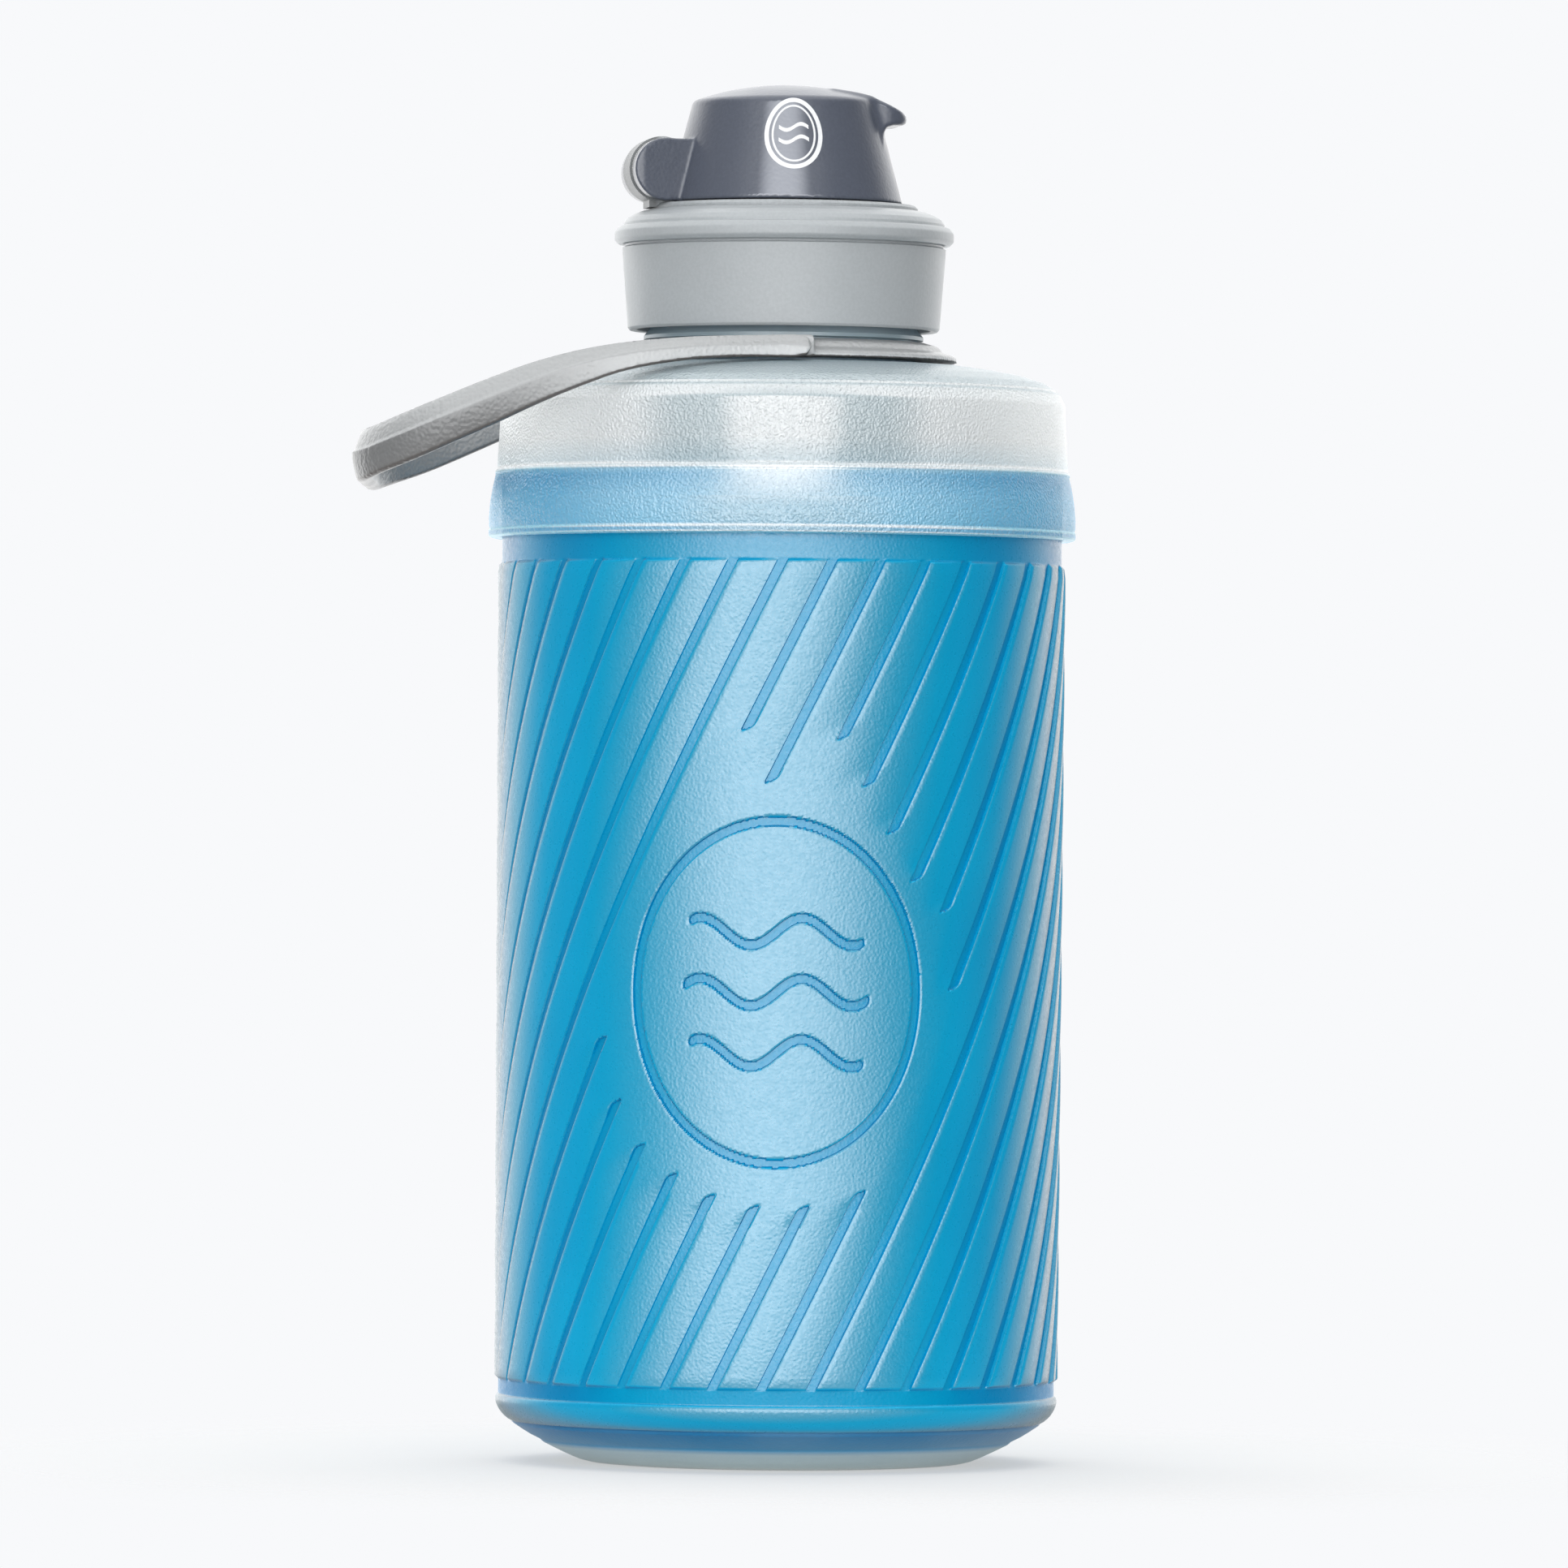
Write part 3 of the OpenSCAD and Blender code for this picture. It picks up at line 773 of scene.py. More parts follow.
def emblem_distance(x, y):
    """Distance to the lines of a plain oval with three waves in it; x across, y up."""
    half_x, half_y = 20.5, 24.0
    swing, wavelength = 1.9, 14.5
    reach = np.sqrt((x / half_x) ** 2 + (y / half_y) ** 2) + 1e-9
    slope = np.hypot(x / half_x**2 / reach, y / half_y**2 / reach)
    nearest = np.abs((reach - 1) / np.maximum(slope, 1e-6))
    for wave_y in (-8.5, 0.0, 8.5):
        end = 0.62 * half_x * math.sqrt(1 - (wave_y / half_y) ** 2)
        phase = 2 * math.pi * x / wavelength
        steepness = swing * 2 * math.pi / wavelength * np.cos(phase)
        off = (y - wave_y - swing * np.sin(phase)) / np.sqrt(1 + steepness**2)
        nearest = np.minimum(nearest, np.hypot(off, np.maximum(np.abs(x) - end, 0)))
    return nearest


def emblem_xy(heading, z):
    """Place on the emblem's flat sheet, and whether the emblem's side of the sleeve is near."""
    wrapped = wrap(heading)
    return np.radians(wrapped + 0.5) * MEAN_RADIUS, z - 67.6, np.abs(wrapped) < 45


def sleeve_field(heading, z, column_groove):
    """Signed distance to the nearest groove or emblem line, negative inside, and the land's fall."""
    nearest = np.full(heading.shape, 9.0)
    fall = np.zeros(heading.shape)
    x, y, near = emblem_xy(heading, z)
    outside = smoothstep(np.sqrt((x / 23.5) ** 2 + (y / 27.0) ** 2), 1.0, 1.12)
    for shift in (-10, 0, 10):
        groove = column_groove + shift
        wrapped = wrap(groove)
        across = (heading - groove - lean(z)) * ACROSS
        low_end, high_start = np.full(z.shape, 999.0), np.full(z.shape, -999.0)
        for gap_heading, gap in GROOVE_GAPS.items():
            here = np.abs(wrapped - gap_heading) < 0.5
            low_end[here], high_start[here] = gap
        along = z - 0.5 * across
        side = np.abs(across) - (GROOVE_HALF - GROOVE_END_RADIUS)
        for past in ((along - low_end) * 0.9, (high_start - along) * 0.9):
            past = past + GROOVE_END_RADIUS
            beyond = np.hypot(np.maximum(side, 0), np.maximum(past, 0))
            rounded = beyond + np.minimum(np.maximum(side, past), 0) - GROOVE_END_RADIUS
            nearest = np.minimum(nearest, rounded)
        # the land falls towards the groove from its lower-heading side
        in_gap = smoothstep(np.minimum(along - low_end, high_start - along), -3.0, 0.4)
        drop = 0.34 * np.clip((across + 5.4) / 4.8, 0, 1) ** 1.8 * (across < 0) * (1 - in_gap)
        fall = np.maximum(fall, drop)
    emblem = np.where(near, emblem_distance(x, y) - 0.66, 9.0)
    return np.minimum(nearest, emblem), fall * np.where(near, outside, 1.0)


def groove_depth(distance):
    wall = (GROOVE_DEPTH - LIP_DEPTH) * (1 - smoothstep(distance, LEVELS[0], LEVELS[1]))
    return wall + LIP_DEPTH * (1 - smoothstep(distance, LEVELS[1], LEVELS[2]))


def place(radius, heading, z):
    angle = np.radians(heading)
    return np.stack([radius * np.sin(angle), -radius * np.cos(angle), z], -1)


def snap_to_edges(heading, z, groove):
    """Moves points that lie close to a groove's edge onto it."""
    step = 0.02
    for _ in range(2):
        distance = sleeve_field(heading, z, groove)[0]
        ahead = sleeve_field(heading + step, z, groove)[0]
        behind = sleeve_field(heading - step, z, groove)[0]
        slope_round = (ahead - behind) / (2 * step * math.radians(1) * MEAN_RADIUS)
        above = sleeve_field(heading, z + step, groove)[0]
        below = sleeve_field(heading, z - step, groove)[0]
        slope_up = (above - below) / (2 * step)
        miss = LEVELS[0] - distance
        for level in LEVELS[1:]:
            miss = np.where(np.abs(level - distance) < np.abs(miss), level - distance, miss)
        steepness = np.maximum(slope_round * slope_round + slope_up * slope_up, 0.25)
        pull = np.where(np.abs(miss) < 0.10, miss, 0) / steepness
        heading = heading + np.degrees(pull * slope_round / MEAN_RADIUS)
        z = z + pull * slope_up
    return heading, z


def rib_points(heading, z, groove):
    """Points on the outside, their recess values and their groove depths."""
    distance, fall = sleeve_field(heading, z, groove)
    depth = groove_depth(distance)
    cut = np.maximum(depth, fall)
    land = np.interp(z, [RIB_LOW, RIB_TOP], [40.3, 40.62])
    land = land - 0.14 * smoothstep(z, RIB_TOP - 1.9, RIB_TOP - 0.3)
    radius = land - cut
    # where, the split's radius, the least radius, how far the ribs have risen
    ends = (
        (z < RIB_LOW + 0.5, FOOT_RADIUS, 39.72, smoothstep(z, 11.7, 12.25)),
        (z > RIB_TOP - 0.9, TOP_RADIUS, 40.0, 1 - smoothstep(z, 127.9, 128.5)),
    )
    for at_end, split_radius, least, lift in ends:
        eased = split_radius + (land - split_radius) * lift - cut * lift
        radius = np.where(at_end, np.maximum(eased, least), radius)
    foot, top = 0.9 * (1 - smoothstep(z, 11.75, 12.2)), 0.7 * smoothstep(z, 128.0, 128.5)
    recess = np.maximum(depth / GROOVE_DEPTH, np.maximum(foot, top))
    return place(radius, heading, z), recess, depth


def near_detail(heading, z, column_groove):
    """Whether grid points are close to an emblem line or to the end of a groove."""
    x, y, near = emblem_xy(heading, z)
    close = near & (np.abs(emblem_distance(x, y)) < 1.75) & (z > 38) & (z < 96)
    for shift in (0, 10):
        groove = column_groove + shift
        across = (heading - groove - lean(z)) * ACROSS
        for gap_heading, (low_end, high_start) in GROOVE_GAPS.items():
            here = (np.abs(wrap(groove) - gap_heading) < 0.5) & (np.abs(across) < 1.0)
            close |= here & ((np.abs(z - low_end) < 1.6) | (np.abs(z - high_start) < 1.6))
    return close


def add_recess(ob, recess):
    """Sharpens a sleeve part's creases and stores the recess values, which the blue material paints
    darker as shade.
    """
    ob.data.set_sharp_from_angle(angle=math.radians(38))
    attribute = ob.data.attributes.new("recess", "FLOAT", "POINT")
    attribute.data.foreach_set("value", np.asarray(recess, np.float32))


def build_sleeve():
    columns, grooves = sleeve_columns()
    count = len(columns)
    z, heading = np.meshgrid(SLEEVE_HEIGHTS, columns, indexing="ij")
    heading = heading + lean(z)
    grid_grooves = np.broadcast_to(grooves, heading.shape)
    ribbed, rib_recess, _ = rib_points(heading, z, grid_grooves)

    def ring(radius, height, share):
        """A plain ring, turned by a share of the grooves' whole turn."""
        return [place(radius, columns + lean(RIB_TOP) * share, np.full(count, height))]

    inside = [ring(r, h, np.clip((h - 12) / 116, 0, 1)) for r, h in SLEEVE_INSIDE]
    foot, top = ring(FOOT_RADIUS, SPLIT_LOW, 0), ring(TOP_RADIUS, SPLIT_TOP, 1)
    rings = np.concatenate([foot, ribbed, top, *inside])
    recess = [np.full(count, 2.0), rib_recess.ravel(), np.full(count, 0.7)]
    recess = np.concatenate([*recess, np.full(count * len(inside), 0.45)])
    rows = len(rings)
    points = rings.reshape(-1, 3)

    # cells close to a detail are split finer
    close = near_detail(heading, z, grid_grooves)
    close = close | np.roll(close, -1, 1)
    first = 1  # the ribbed rows start above the foot ring
    split = np.zeros((rows, count), bool)
    split[first : first + len(z) - 1] = close[:-1] | close[1:]

    # every point of the fine cells, once each, with its place on the fine grid
    fine_count = count * FINE
    cell_row, cell_column = np.nonzero(split)
    sub_row, sub_column = np.meshgrid(np.arange(FINE + 1), np.arange(FINE + 1), indexing="ij")
    fine_row = cell_row[:, None, None] * FINE + sub_row
    fine_column = (cell_column[:, None, None] * FINE + sub_column) % fine_count
    keys = fine_row * fine_count + fine_column
    unique, inverse = np.unique(keys, return_inverse=True)
    inverse = inverse.reshape(keys.shape)
    row, column = unique // fine_count, unique % fine_count
    shared = (row % FINE == 0) & (column % FINE == 0)  # points of the coarse grid as well
    at_row, at_column = row / FINE - first, column / FINE
    i = np.clip(np.floor(at_row).astype(int), 0, len(z) - 2)
    j = np.floor(at_column).astype(int)
    around = np.append(columns, columns[0] + 360)
    heights = SLEEVE_HEIGHTS
    fine_z = heights[i] + (heights[i + 1] - heights[i]) * (at_row - i)
    fine_heading = around[j] + (around[j + 1] - around[j]) * (at_column - j)
    fine_heading = fine_heading + lean(fine_z)
    fine_heading, fine_z = snap_to_edges(fine_heading, fine_z, grooves[j])
    fine_points, fine_recess, depth = rib_points(fine_heading, fine_z, grooves[j])
    index = np.where(shared, (row // FINE) * count + column // FINE, 0)
    index[~shared] = len(points) + np.arange((~shared).sum())
    points[index[shared]] = fine_points[shared]
    recess[index[shared]] = fine_recess[shared]
    points = np.concatenate([points, fine_points[~shared]])
    recess = np.concatenate([recess, fine_recess[~shared]])
    lookup = dict(zip(unique.tolist(), index.tolist()))

    # fine cells: triangles whose diagonal runs along the feature rather than across it
    corners = (inverse[:, :-1, :-1], inverse[:, :-1, 1:], inverse[:, 1:, 1:], inverse[:, 1:, :-1])
    corners = [corner.ravel() for corner in corners]
    level = [depth[corner] for corner in corners]
    flip = (np.abs(level[0] - level[2]) > np.abs(level[1] - level[3]))[:, None]
    quad = np.stack([index[corner] for corner in corners], -1)
    faces = np.where(flip, quad[:, [0, 1, 3]], quad[:, [0, 1, 2]]).tolist()
    faces += np.where(flip, quad[:, [1, 2, 3]], quad[:, [0, 2, 3]]).tolist()

    # plain cells are quads, and cells beside fine ones take up their neighbours' points
    up, down = np.roll(split, -1, 0), np.roll(split, 1, 0)
    left, right = np.roll(split, 1, 1), np.roll(split, -1, 1)
    touching = (up | down | left | right) & ~split
    quads = grid_faces(rows, count, True).reshape(rows, count, 4)
    faces += quads[~split & ~touching].tolist()
    # neighbour, row and column of the side's first corner, steps along the side
    sides = ((down, 0, 0, 0, 1), (right, 0, 1, 1, 0), (up, 1, 1, 0, -1), (left, 1, 0, -1, 0))
    for i, j in zip(*np.nonzero(touching)):
        polygon = []
        for corner, (finer, corner_i, corner_j, step_i, step_j) in zip(quads[i, j], sides):
            polygon.append(int(corner))
            if not finer[i, j]:
                continue
            for t in range(1, FINE):
                side_row = ((i + corner_i) * FINE + step_i * t) % (rows * FINE)
                side_column = ((j + corner_j) * FINE + step_j * t) % fine_count
                polygon.append(lookup[side_row * fine_count + side_column])
        faces.append(polygon)
    ob = add_mesh("sleeve_ribbed", points, faces)
    add_recess(ob, recess)
    return ob


def band(name, profile, recess_at):
    """A plain end of the sleeve; recess_at gives its recess value by height."""
    ob = lathe(name, profile, 360)
    add_recess(ob, [recess_at(vertex.co.z / MM) for vertex in ob.data.vertices])
    dress(ob, BLUE)
    return ob


# Closed outlines, r and z: up the outside, then down the inside.
FOOT_BAND = [
    (38.05, 5.9), (38.45, 6.12), (38.9, 6.5), (39.3, 6.92), (39.62, 7.38), (39.88, 7.85),
    (40.05, 8.3), (40.15, 8.72), (40.17, 9.1), (40.08, 9.4), (39.92, 9.58), (39.78, 9.68),
    (FOOT_RADIUS, 9.85), (FOOT_RADIUS, 10.8), (FOOT_RADIUS, SPLIT_LOW),
    (39.2, SPLIT_LOW), (39.2, 9.0), (38.95, 8.15), (38.3, 7.15), (37.6, 6.42),
]  # fmt: skip
TOP_BAND = [
    (TOP_RADIUS, SPLIT_TOP), (40.0, 130.0), (40.0, 131.7), (39.97, 136.0), (39.95, 140.5),
    (39.85, 140.9),
    (39.15, 140.9), (39.05, 140.5), (39.05, 129.5), (39.07, SPLIT_TOP),
]  # fmt: skip

sleeve = build_sleeve()
dress(sleeve, BLUE, replaces="body_sleeve")
foot_band = band("sleeve_foot_band", FOOT_BAND, lambda z: 2.0 if z > 9.75 else 0.0)
top_band = band("sleeve_top_band", TOP_BAND, lambda z: 0.7)

# ---------------------------------------------------------------- shoulder and base
# Closed outline: r, z, corner radius.
SHOULDER_OUTLINE = [
    (40.12, 132.05, 0.1), (41.35, 131.85, 0.25), (41.98, 132.1, 0.25), (42.02, 132.95, 0.2),
    (41.86, 133.2, 0.12), (41.95, 133.6, 0.2), (41.98, 134.8, 1.0), (41.8, 137.1, 1.5),
    (41.42, 139.3, 1.2), (41.05, 140.9, 0.3), (41.12, 141.15, 0.12), (41.1, 141.45, 0.12),
    (40.86, 141.7, 0.3), (40.7, 144.0, 2.0), (40.42, 149.0, 2.0), (40.38, 151.2, 1.4),
    (39.6, 152.85, 1.6), (39.05, 153.1, 0.12), (38.9, 153.45, 0.12), (37.4, 154.4, 1.5),
    (34.3, 155.4, 2.0), (30.0, 156.2, 2.0), (26.0, 156.75, 2.0), (19.12, 157.0, 0.2),
    (19.12, 155.6, 0.1), (24.6, 155.35, 0.3), (28.0, 154.9, 1.0), (33.0, 154.1, 1.0),
    (36.0, 153.1, 1.0), (38.0, 151.9, 1.0), (38.9, 150.8, 0.8), (39.2, 149.0, 1.0),
    (39.2, 141.15, 0.2), (40.12, 141.12, 0.1),
]  # fmt: skip
# Open outline from axis to axis, underside first: r, z.
BASE_OUTLINE = [
    (0, 0), (16.8, 0), (17.2, 0.25), (17.6, 0.55), (18.6, 0.55), (19.0, 0.25), (19.4, 0),
    (25.6, 0), (27.0, 0.12), (28.2, 0.42), (29.4, 0.9), (30.7, 1.5), (32.0, 2.12),
    (33.2, 2.72), (33.55, 2.98), (33.62, 3.12), (34.2, 3.42), (35.2, 3.92), (36.3, 4.6),
    (37.2, 5.2), (37.78, 5.6), (37.3, 6.3), (37.95, 6.98), (38.6, 7.9), (38.95, 8.9),
    (39.0, 14.2), (38.0, 14.2), (37.9, 9.4), (37.4, 8.3), (36.2, 7.1), (34.4, 5.9),
    (31.8, 4.7), (28.4, 3.5), (24, 2.6), (0, 2.4),
]  # fmt: skip

shoulder = lathe("shoulder_frosted", refine(fillet(SHOULDER_OUTLINE, steps=4), 2.2), 288)
dress(shoulder, SHOULDER, replaces="shoulder")
base = lathe_to_axis("base_frosted", BASE_OUTLINE, 256)
dress(base, BASE, replaces="base_disc")

# ---------------------------------------------------------------- handle strap
PIVOT_X, PIVOT_Z = 2.4, 158.75
STRAP_HALF = 1.5  # half the strap's thickness
STRAP_END = -61.0  # outer face of the far end, along x
BEND_RADIUS = 13.5


def smoothed(points, straight):
    """Points with a smooth curve through all but the straight ones."""
    points = np.array(points, float)
    curve = []
    for k in range(len(points) - 1):
        curve.append(points[k])
        if k in straight or k + 1 in straight:
            continue
        a, b, c, d = points[[max(k - 1, 0), k, k + 1, min(k + 2, len(points) - 1)]]
        for t in (0.25, 0.5, 0.75):
            square, cube = (2 * a - 5 * b + 4 * c - d) * t * t, (3 * b - a - 3 * c + d) * t**3
            curve.append(0.5 * (2 * b + (c - a) * t + square + cube))
    return np.array(curve + [points[-1]])


# Edges of the strap seen from the side: x, z.
STRAP_TOP = smoothed([
    (4.1, 158.8), (3.4, 159.9), (1.6, 160.25), (-4, 160.1), (-12.6, 159.7), (-21.4, 158.85),
    (-28, 157.75), (-34.5, 156.05), (-40.6, 153.85), (-47.5, 151.05), (-54, 148.4),
    (-58.0, 146.9), (-61.2, 146.1),
], straight=(0, 1, 2))  # fmt: skip
STRAP_LOW = smoothed([
    (-61.2, 139.15), (-59.2, 139.2), (-56.6, 140.25), (-52, 142.0), (-47.5, 143.95),
    (-40.6, 147.05), (-34.5, 149.95), (-28, 152.7), (-21.4, 154.95), (-12.6, 156.5),
    (-4, 157.0), (1.6, 157.0), (3.4, 157.4),
], straight=(0, 11, 12))  # fmt: skip
STRAP_SIDE = np.vstack([STRAP_TOP, STRAP_LOW])


def half_width(x):
    """Inner half width of the loop, which widens away from the pivots."""
    t = np.clip((PIVOT_X - x) / 26, 0, 1)
    return 25.1 + (31.3 - 25.1) * t * t * (3 - 2 * t)


def strap_centre():
    """Centre line seen from above, +Y side, from the pivot to the middle of the far end."""
    points = [(x, half_width(x) + STRAP_HALF) for x in np.linspace(4.2, -45.0, 60)]
    bend_x = STRAP_END + STRAP_HALF + BEND_RADIUS
    bend_y = half_width(-60.0) + STRAP_HALF - BEND_RADIUS
    for angle in np.radians(np.linspace(90, 180, 16)):
        x, y = BEND_RADIUS * math.cos(angle), BEND_RADIUS * math.sin(angle)
        points.append((bend_x + x, bend_y + y))
    points.append((STRAP_END + STRAP_HALF, 0.0))
    return np.array(points, float)


CENTRE = strap_centre()


def centre_distance(x, y):
    """Distance from the centre line, and its side: 1 outside the loop, -1 inside."""
    y = np.abs(y)
    nearest = np.full(x.shape, 1e9)
    side = np.ones(x.shape)
    for start, end in zip(CENTRE[:-1], CENTRE[1:]):
        run = end - start
        along = (x - start[0]) * run[0] + (y - start[1]) * run[1]
        t = np.clip(along / (run @ run), 0, 1)
        off_x, off_y = x - start[0] - t * run[0], y - start[1] - t * run[1]
        square = off_x * off_x + off_y * off_y
        here = np.where(run[0] * off_y - run[1] * off_x < 0, 1.0, -1.0)
        side = np.where(square < nearest, here, side)
        nearest = np.minimum(nearest, square)
    return np.sqrt(nearest), side


def strap_field(x, y, z):
    distance, side = centre_distance(x, y)
    top = np.interp(x, STRAP_TOP[::-1, 0], STRAP_TOP[::-1, 1])
    low = np.interp(x, STRAP_LOW[:, 0], STRAP_LOW[:, 1])
    height = np.clip((z - low) / np.maximum(top - low, 0.5), 0, 1)
    # above its parting line the outer face leans back, below it the face is nearly upright
    parting = 0.60
    lean_back = 1.15 * np.clip((height - parting) / (1 - parting), 0, 1) ** 1.15
    lean_back = lean_back + 0.28 * smoothstep(height, parting, parting + 0.04)
    near = smoothstep(x, -46.0, -20.0)  # 1 towards the pivots
    belly = (0.85 - 0.80 * near) * np.clip((parting - height) / parting, 0, 1) ** 1.6
    lean_back = lean_back + 0.40 * near * np.clip(height / parting, 0, 1)
    taper = np.where(side > 0, lean_back + belly, 0.35 * (lean_back + belly))
    plan = distance - (STRAP_HALF - taper)
    field = smooth_max(plan * 0.93, outline_distance(STRAP_SIDE, x, z), 0.55)
    # flat inner faces beside the pivots
    field = np.maximum(field, 25.06 - np.abs(y) - 50 * (x < -3.0))
    bore = np.hypot(x - PIVOT_X, z - PIVOT_Z) - 1.03
    return np.maximum(field, -np.maximum(bore, np.abs(y) - 26.2))


handle = surface("handle_strap", strap_field, (-61.4, -36.0, 138.5), (4.4, 36.0, 161.0), 0.34)
dress(handle, HANDLE_GREY, replaces="handle_bail")

# ---------------------------------------------------------------- handle ring
# Closed outline: r, z.
COLLAR_OUTLINE = [
    (19.35, 157.3), (24.8, 157.3), (24.75, 157.9), (24.3, 158.25), (22.8, 158.75),
    (22.4, 159.3), (22.0, 159.6), (20.4, 160.05), (19.35, 160.05),
]  # fmt: skip


def collar_field(x, y, z):
    """The ring with a block and a pivot stud on each side."""
    r = np.hypot(x, y)
    side = np.abs(y)
    ring = outline_distance(COLLAR_OUTLINE, r, z)
    block = np.maximum(
        box_distance(x, z, centre=(PIVOT_X, 158.8), half=(1.9, 1.5), corner=0.5),
        box_distance(side, z, centre=(23.1, 158.8), half=(1.75, 1.5), corner=0.3),
    )
    block = np.maximum(block, 19.4 - r)
    stud = np.maximum(np.hypot(x - PIVOT_X, z - PIVOT_Z) - 0.95, np.abs(side - 24.8) - 1.25)
    return np.minimum(smooth_min(ring, block, 0.5), stud)


collar = surface("handle_ring", collar_field, (-24.9, -26.9, 157.2), (24.9, 26.9, 160.4), 0.3)
dress(collar, HANDLE_GREY, replaces="handle_collar")

# ---------------------------------------------------------------- cap
# Closed outline: r, z, corner radius.
CAP_OUTLINE = [
    (20.98, 161.8, 0.15), (22.0, 161.7, 0.3), (22.32, 162.1, 0.3), (23.12, 172.6, 0.4),
    (23.14, 173.50, 0.08), (22.72, 173.68, 0.06), (22.8, 173.98, 0.06), (23.7, 174.02, 0.35),
    (24.28, 174.6, 0.55), (24.28, 175.75, 0.6), (23.7, 176.5, 0.4), (22.98, 176.62, 0.12),
    (22.95, 177.0, 0.3), (22.5, 177.7, 0.5), (21.5, 178.3, 0.6), (20.4, 178.72, 0.5),
    (19.42, 178.9, 0.1), (19.3, 178.42, 0.05), (15.1, 178.4, 0.1), (15.1, 177.4, 0.1),
    (13.3, 177.4, 0.1), (13.3, 178.4, 0.1), (11.05, 178.4, 0.1), (11.05, 176.15, 0.1),
    (21.0, 176.15, 0.3), (21.0, 162.8, 0.2),
]  # fmt: skip


def build_thread(name, root_radius, crest_radius, root_width, crest_width, low_z, start, lead):
    """Two inward helical ridges of one turn each, as closed meshes faded at their ends."""
    starts, steps, fade_steps = 2, 96, 10
    points, faces = [], []
    for s in range(starts):
        first = len(points)
        for i in range(steps + 1):
            t = i / steps
            angle = math.radians(start + 360 * s / starts + 360 * t)
            z = low_z + lead * t
            rise = max(0.1, min(1.0, min(i, steps - i) / fade_steps))
            crest_r = root_radius + (crest_radius - root_radius) * rise
            crest_w = root_width + (crest_width - root_width) * rise
            section = (
                (root_radius, -root_width / 2),
                (crest_r, -crest_w / 2),
                (crest_r, crest_w / 2),
                (root_radius, root_width / 2),
            )
            for r, up in section:
                points.append((r * math.cos(angle), r * math.sin(angle), z + up))
        for i in range(steps):
            for j in range(4):
                a, b = first + 4 * i + j, first + 4 * i + (j + 1) % 4
                faces.append([a, a + 4, b + 4, b])
        last = first + 4 * steps
        faces += [[first + j for j in (3, 2, 1, 0)], [last + j for j in (0, 1, 2, 3)]]
    return add_mesh(name, points, faces, smooth=False)


cap = lathe("cap_shell", refine(fillet(CAP_OUTLINE, steps=5), 2.0), 288)
thread = build_thread(
    "cap_thread", root_radius=21.2, crest_radius=19.5, root_width=1.9, crest_width=0.7,
    low_z=164.3, start=-144.0, lead=6.0,
)  # fmt: skip
dress(cap, CAP_GREY, replaces="cap_body")
dress(thread, CAP_GREY)

# ---------------------------------------------------------------- flip lid
# The lid is shaped with its hinge at -X and its tab at +X, then turned by LID_YAW.
HINGE_X, HINGE_Z = -18.2, 184.5
EAR_Z = 184.4  # height of the ears round the hinge
LID_LOW = 180.0
CAVITY_X = 0.3
# Closed outline of the tab seen from the side: x, z.
TAB_OUTLINE = [
    (6.0, 191.0), (6.0, 196.0), (9.5, 195.65), (11.3, 195.3), (13.0, 194.65), (14.8, 193.85),
    (16.2, 193.2), (17.0, 192.65), (17.25, 192.05), (17.0, 191.5), (16.3, 191.2),
    (14.9, 191.15), (13.9, 190.9), (13.2, 190.0), (12.9, 188.6),
]  # fmt: skip


def lid_outer(x, y, z):
    """Cone under a dome, with a tab and two hinge ears."""
    cone = (np.hypot(x + 0.1, y) - (16.95 - 0.265 * (z - LID_LOW))) * 0.967
    dome_top, dome_radius = 196.9, 39.0
    dome_z = z - (dome_top - dome_radius)
    dome = np.sqrt((x - 0.15) ** 2 + y * y + dome_z**2) - dome_radius
    field = smooth_max(cone, dome, 0.5)
    field = smooth_max(field, LID_LOW - z, 0.3)
    tab_plan = box_distance(x, y, centre=(7.5, 0.0), half=(9.9, 6.2), corner=4.0)
    tab = smooth_max(outline_distance(TAB_OUTLINE, x, z), tab_plan, 0.7)
    field = smooth_min(field, tab, 1.1)
    side = np.abs(y)
    ear = np.hypot(x - HINGE_X, z - EAR_Z) - 4.42
    root = box_distance(x, z, centre=(HINGE_X + 4.2, EAR_Z), half=(4.2, 4.4), corner=0.2)
    arm = smooth_min(ear, root, 0.3)
    # the outer faces draw in towards the wall
    outer_y = np.clip(6.5 - 0.28 * (x - HINGE_X), 4.6, 7.4)
    faces = np.maximum((side - outer_y) * 0.97, np.minimum(outer_y - 2.2, 3.9) - side)
    return smooth_min(field, smooth_max(arm, faces, 0.35), 0.4)


def lid_field(x, y, z):
    field = lid_outer(x, y, z)
    cavity = np.hypot(x - CAVITY_X, y) - (14.6 - 0.207 * (z - LID_LOW))
    cavity = smooth_max(cavity * 0.98, z - 192.9, 0.6)
    field = smooth_max(field, -cavity, 0.3)
    from_hinge = np.hypot(x - HINGE_X, z - HINGE_Z)
    between_ears = np.maximum(from_hinge - 5.6, np.abs(y) - 3.9)
    field = smooth_max(field, -between_ears, 0.2)
    bore = np.maximum(from_hinge - 1.0, -(y + 5.7))  # stops inside the ear at -Y
    return np.maximum(field, -bore)


lid = surface(
    "lid_shell", lid_field, (-23.0, -17.1, 179.9), (17.5, 17.1, 197.0), 0.3, yaw=LID_YAW
)
dress(lid, LID_SLATE, replaces="flip_lid")


# ---------------------------------------------------------------- badge on the lid
def oval_strip(half_x, half_y, width):
    """Pairs of outer and inner points round an oval line."""
    strip = []
    for i in range(96):
        cos, sin = math.cos(2 * math.pi * i / 96), math.sin(2 * math.pi * i / 96)
        inner = ((half_x - width) * cos, (half_y - width) * sin)
        strip.append(((half_x * cos, half_y * sin), inner))
    return strip, True


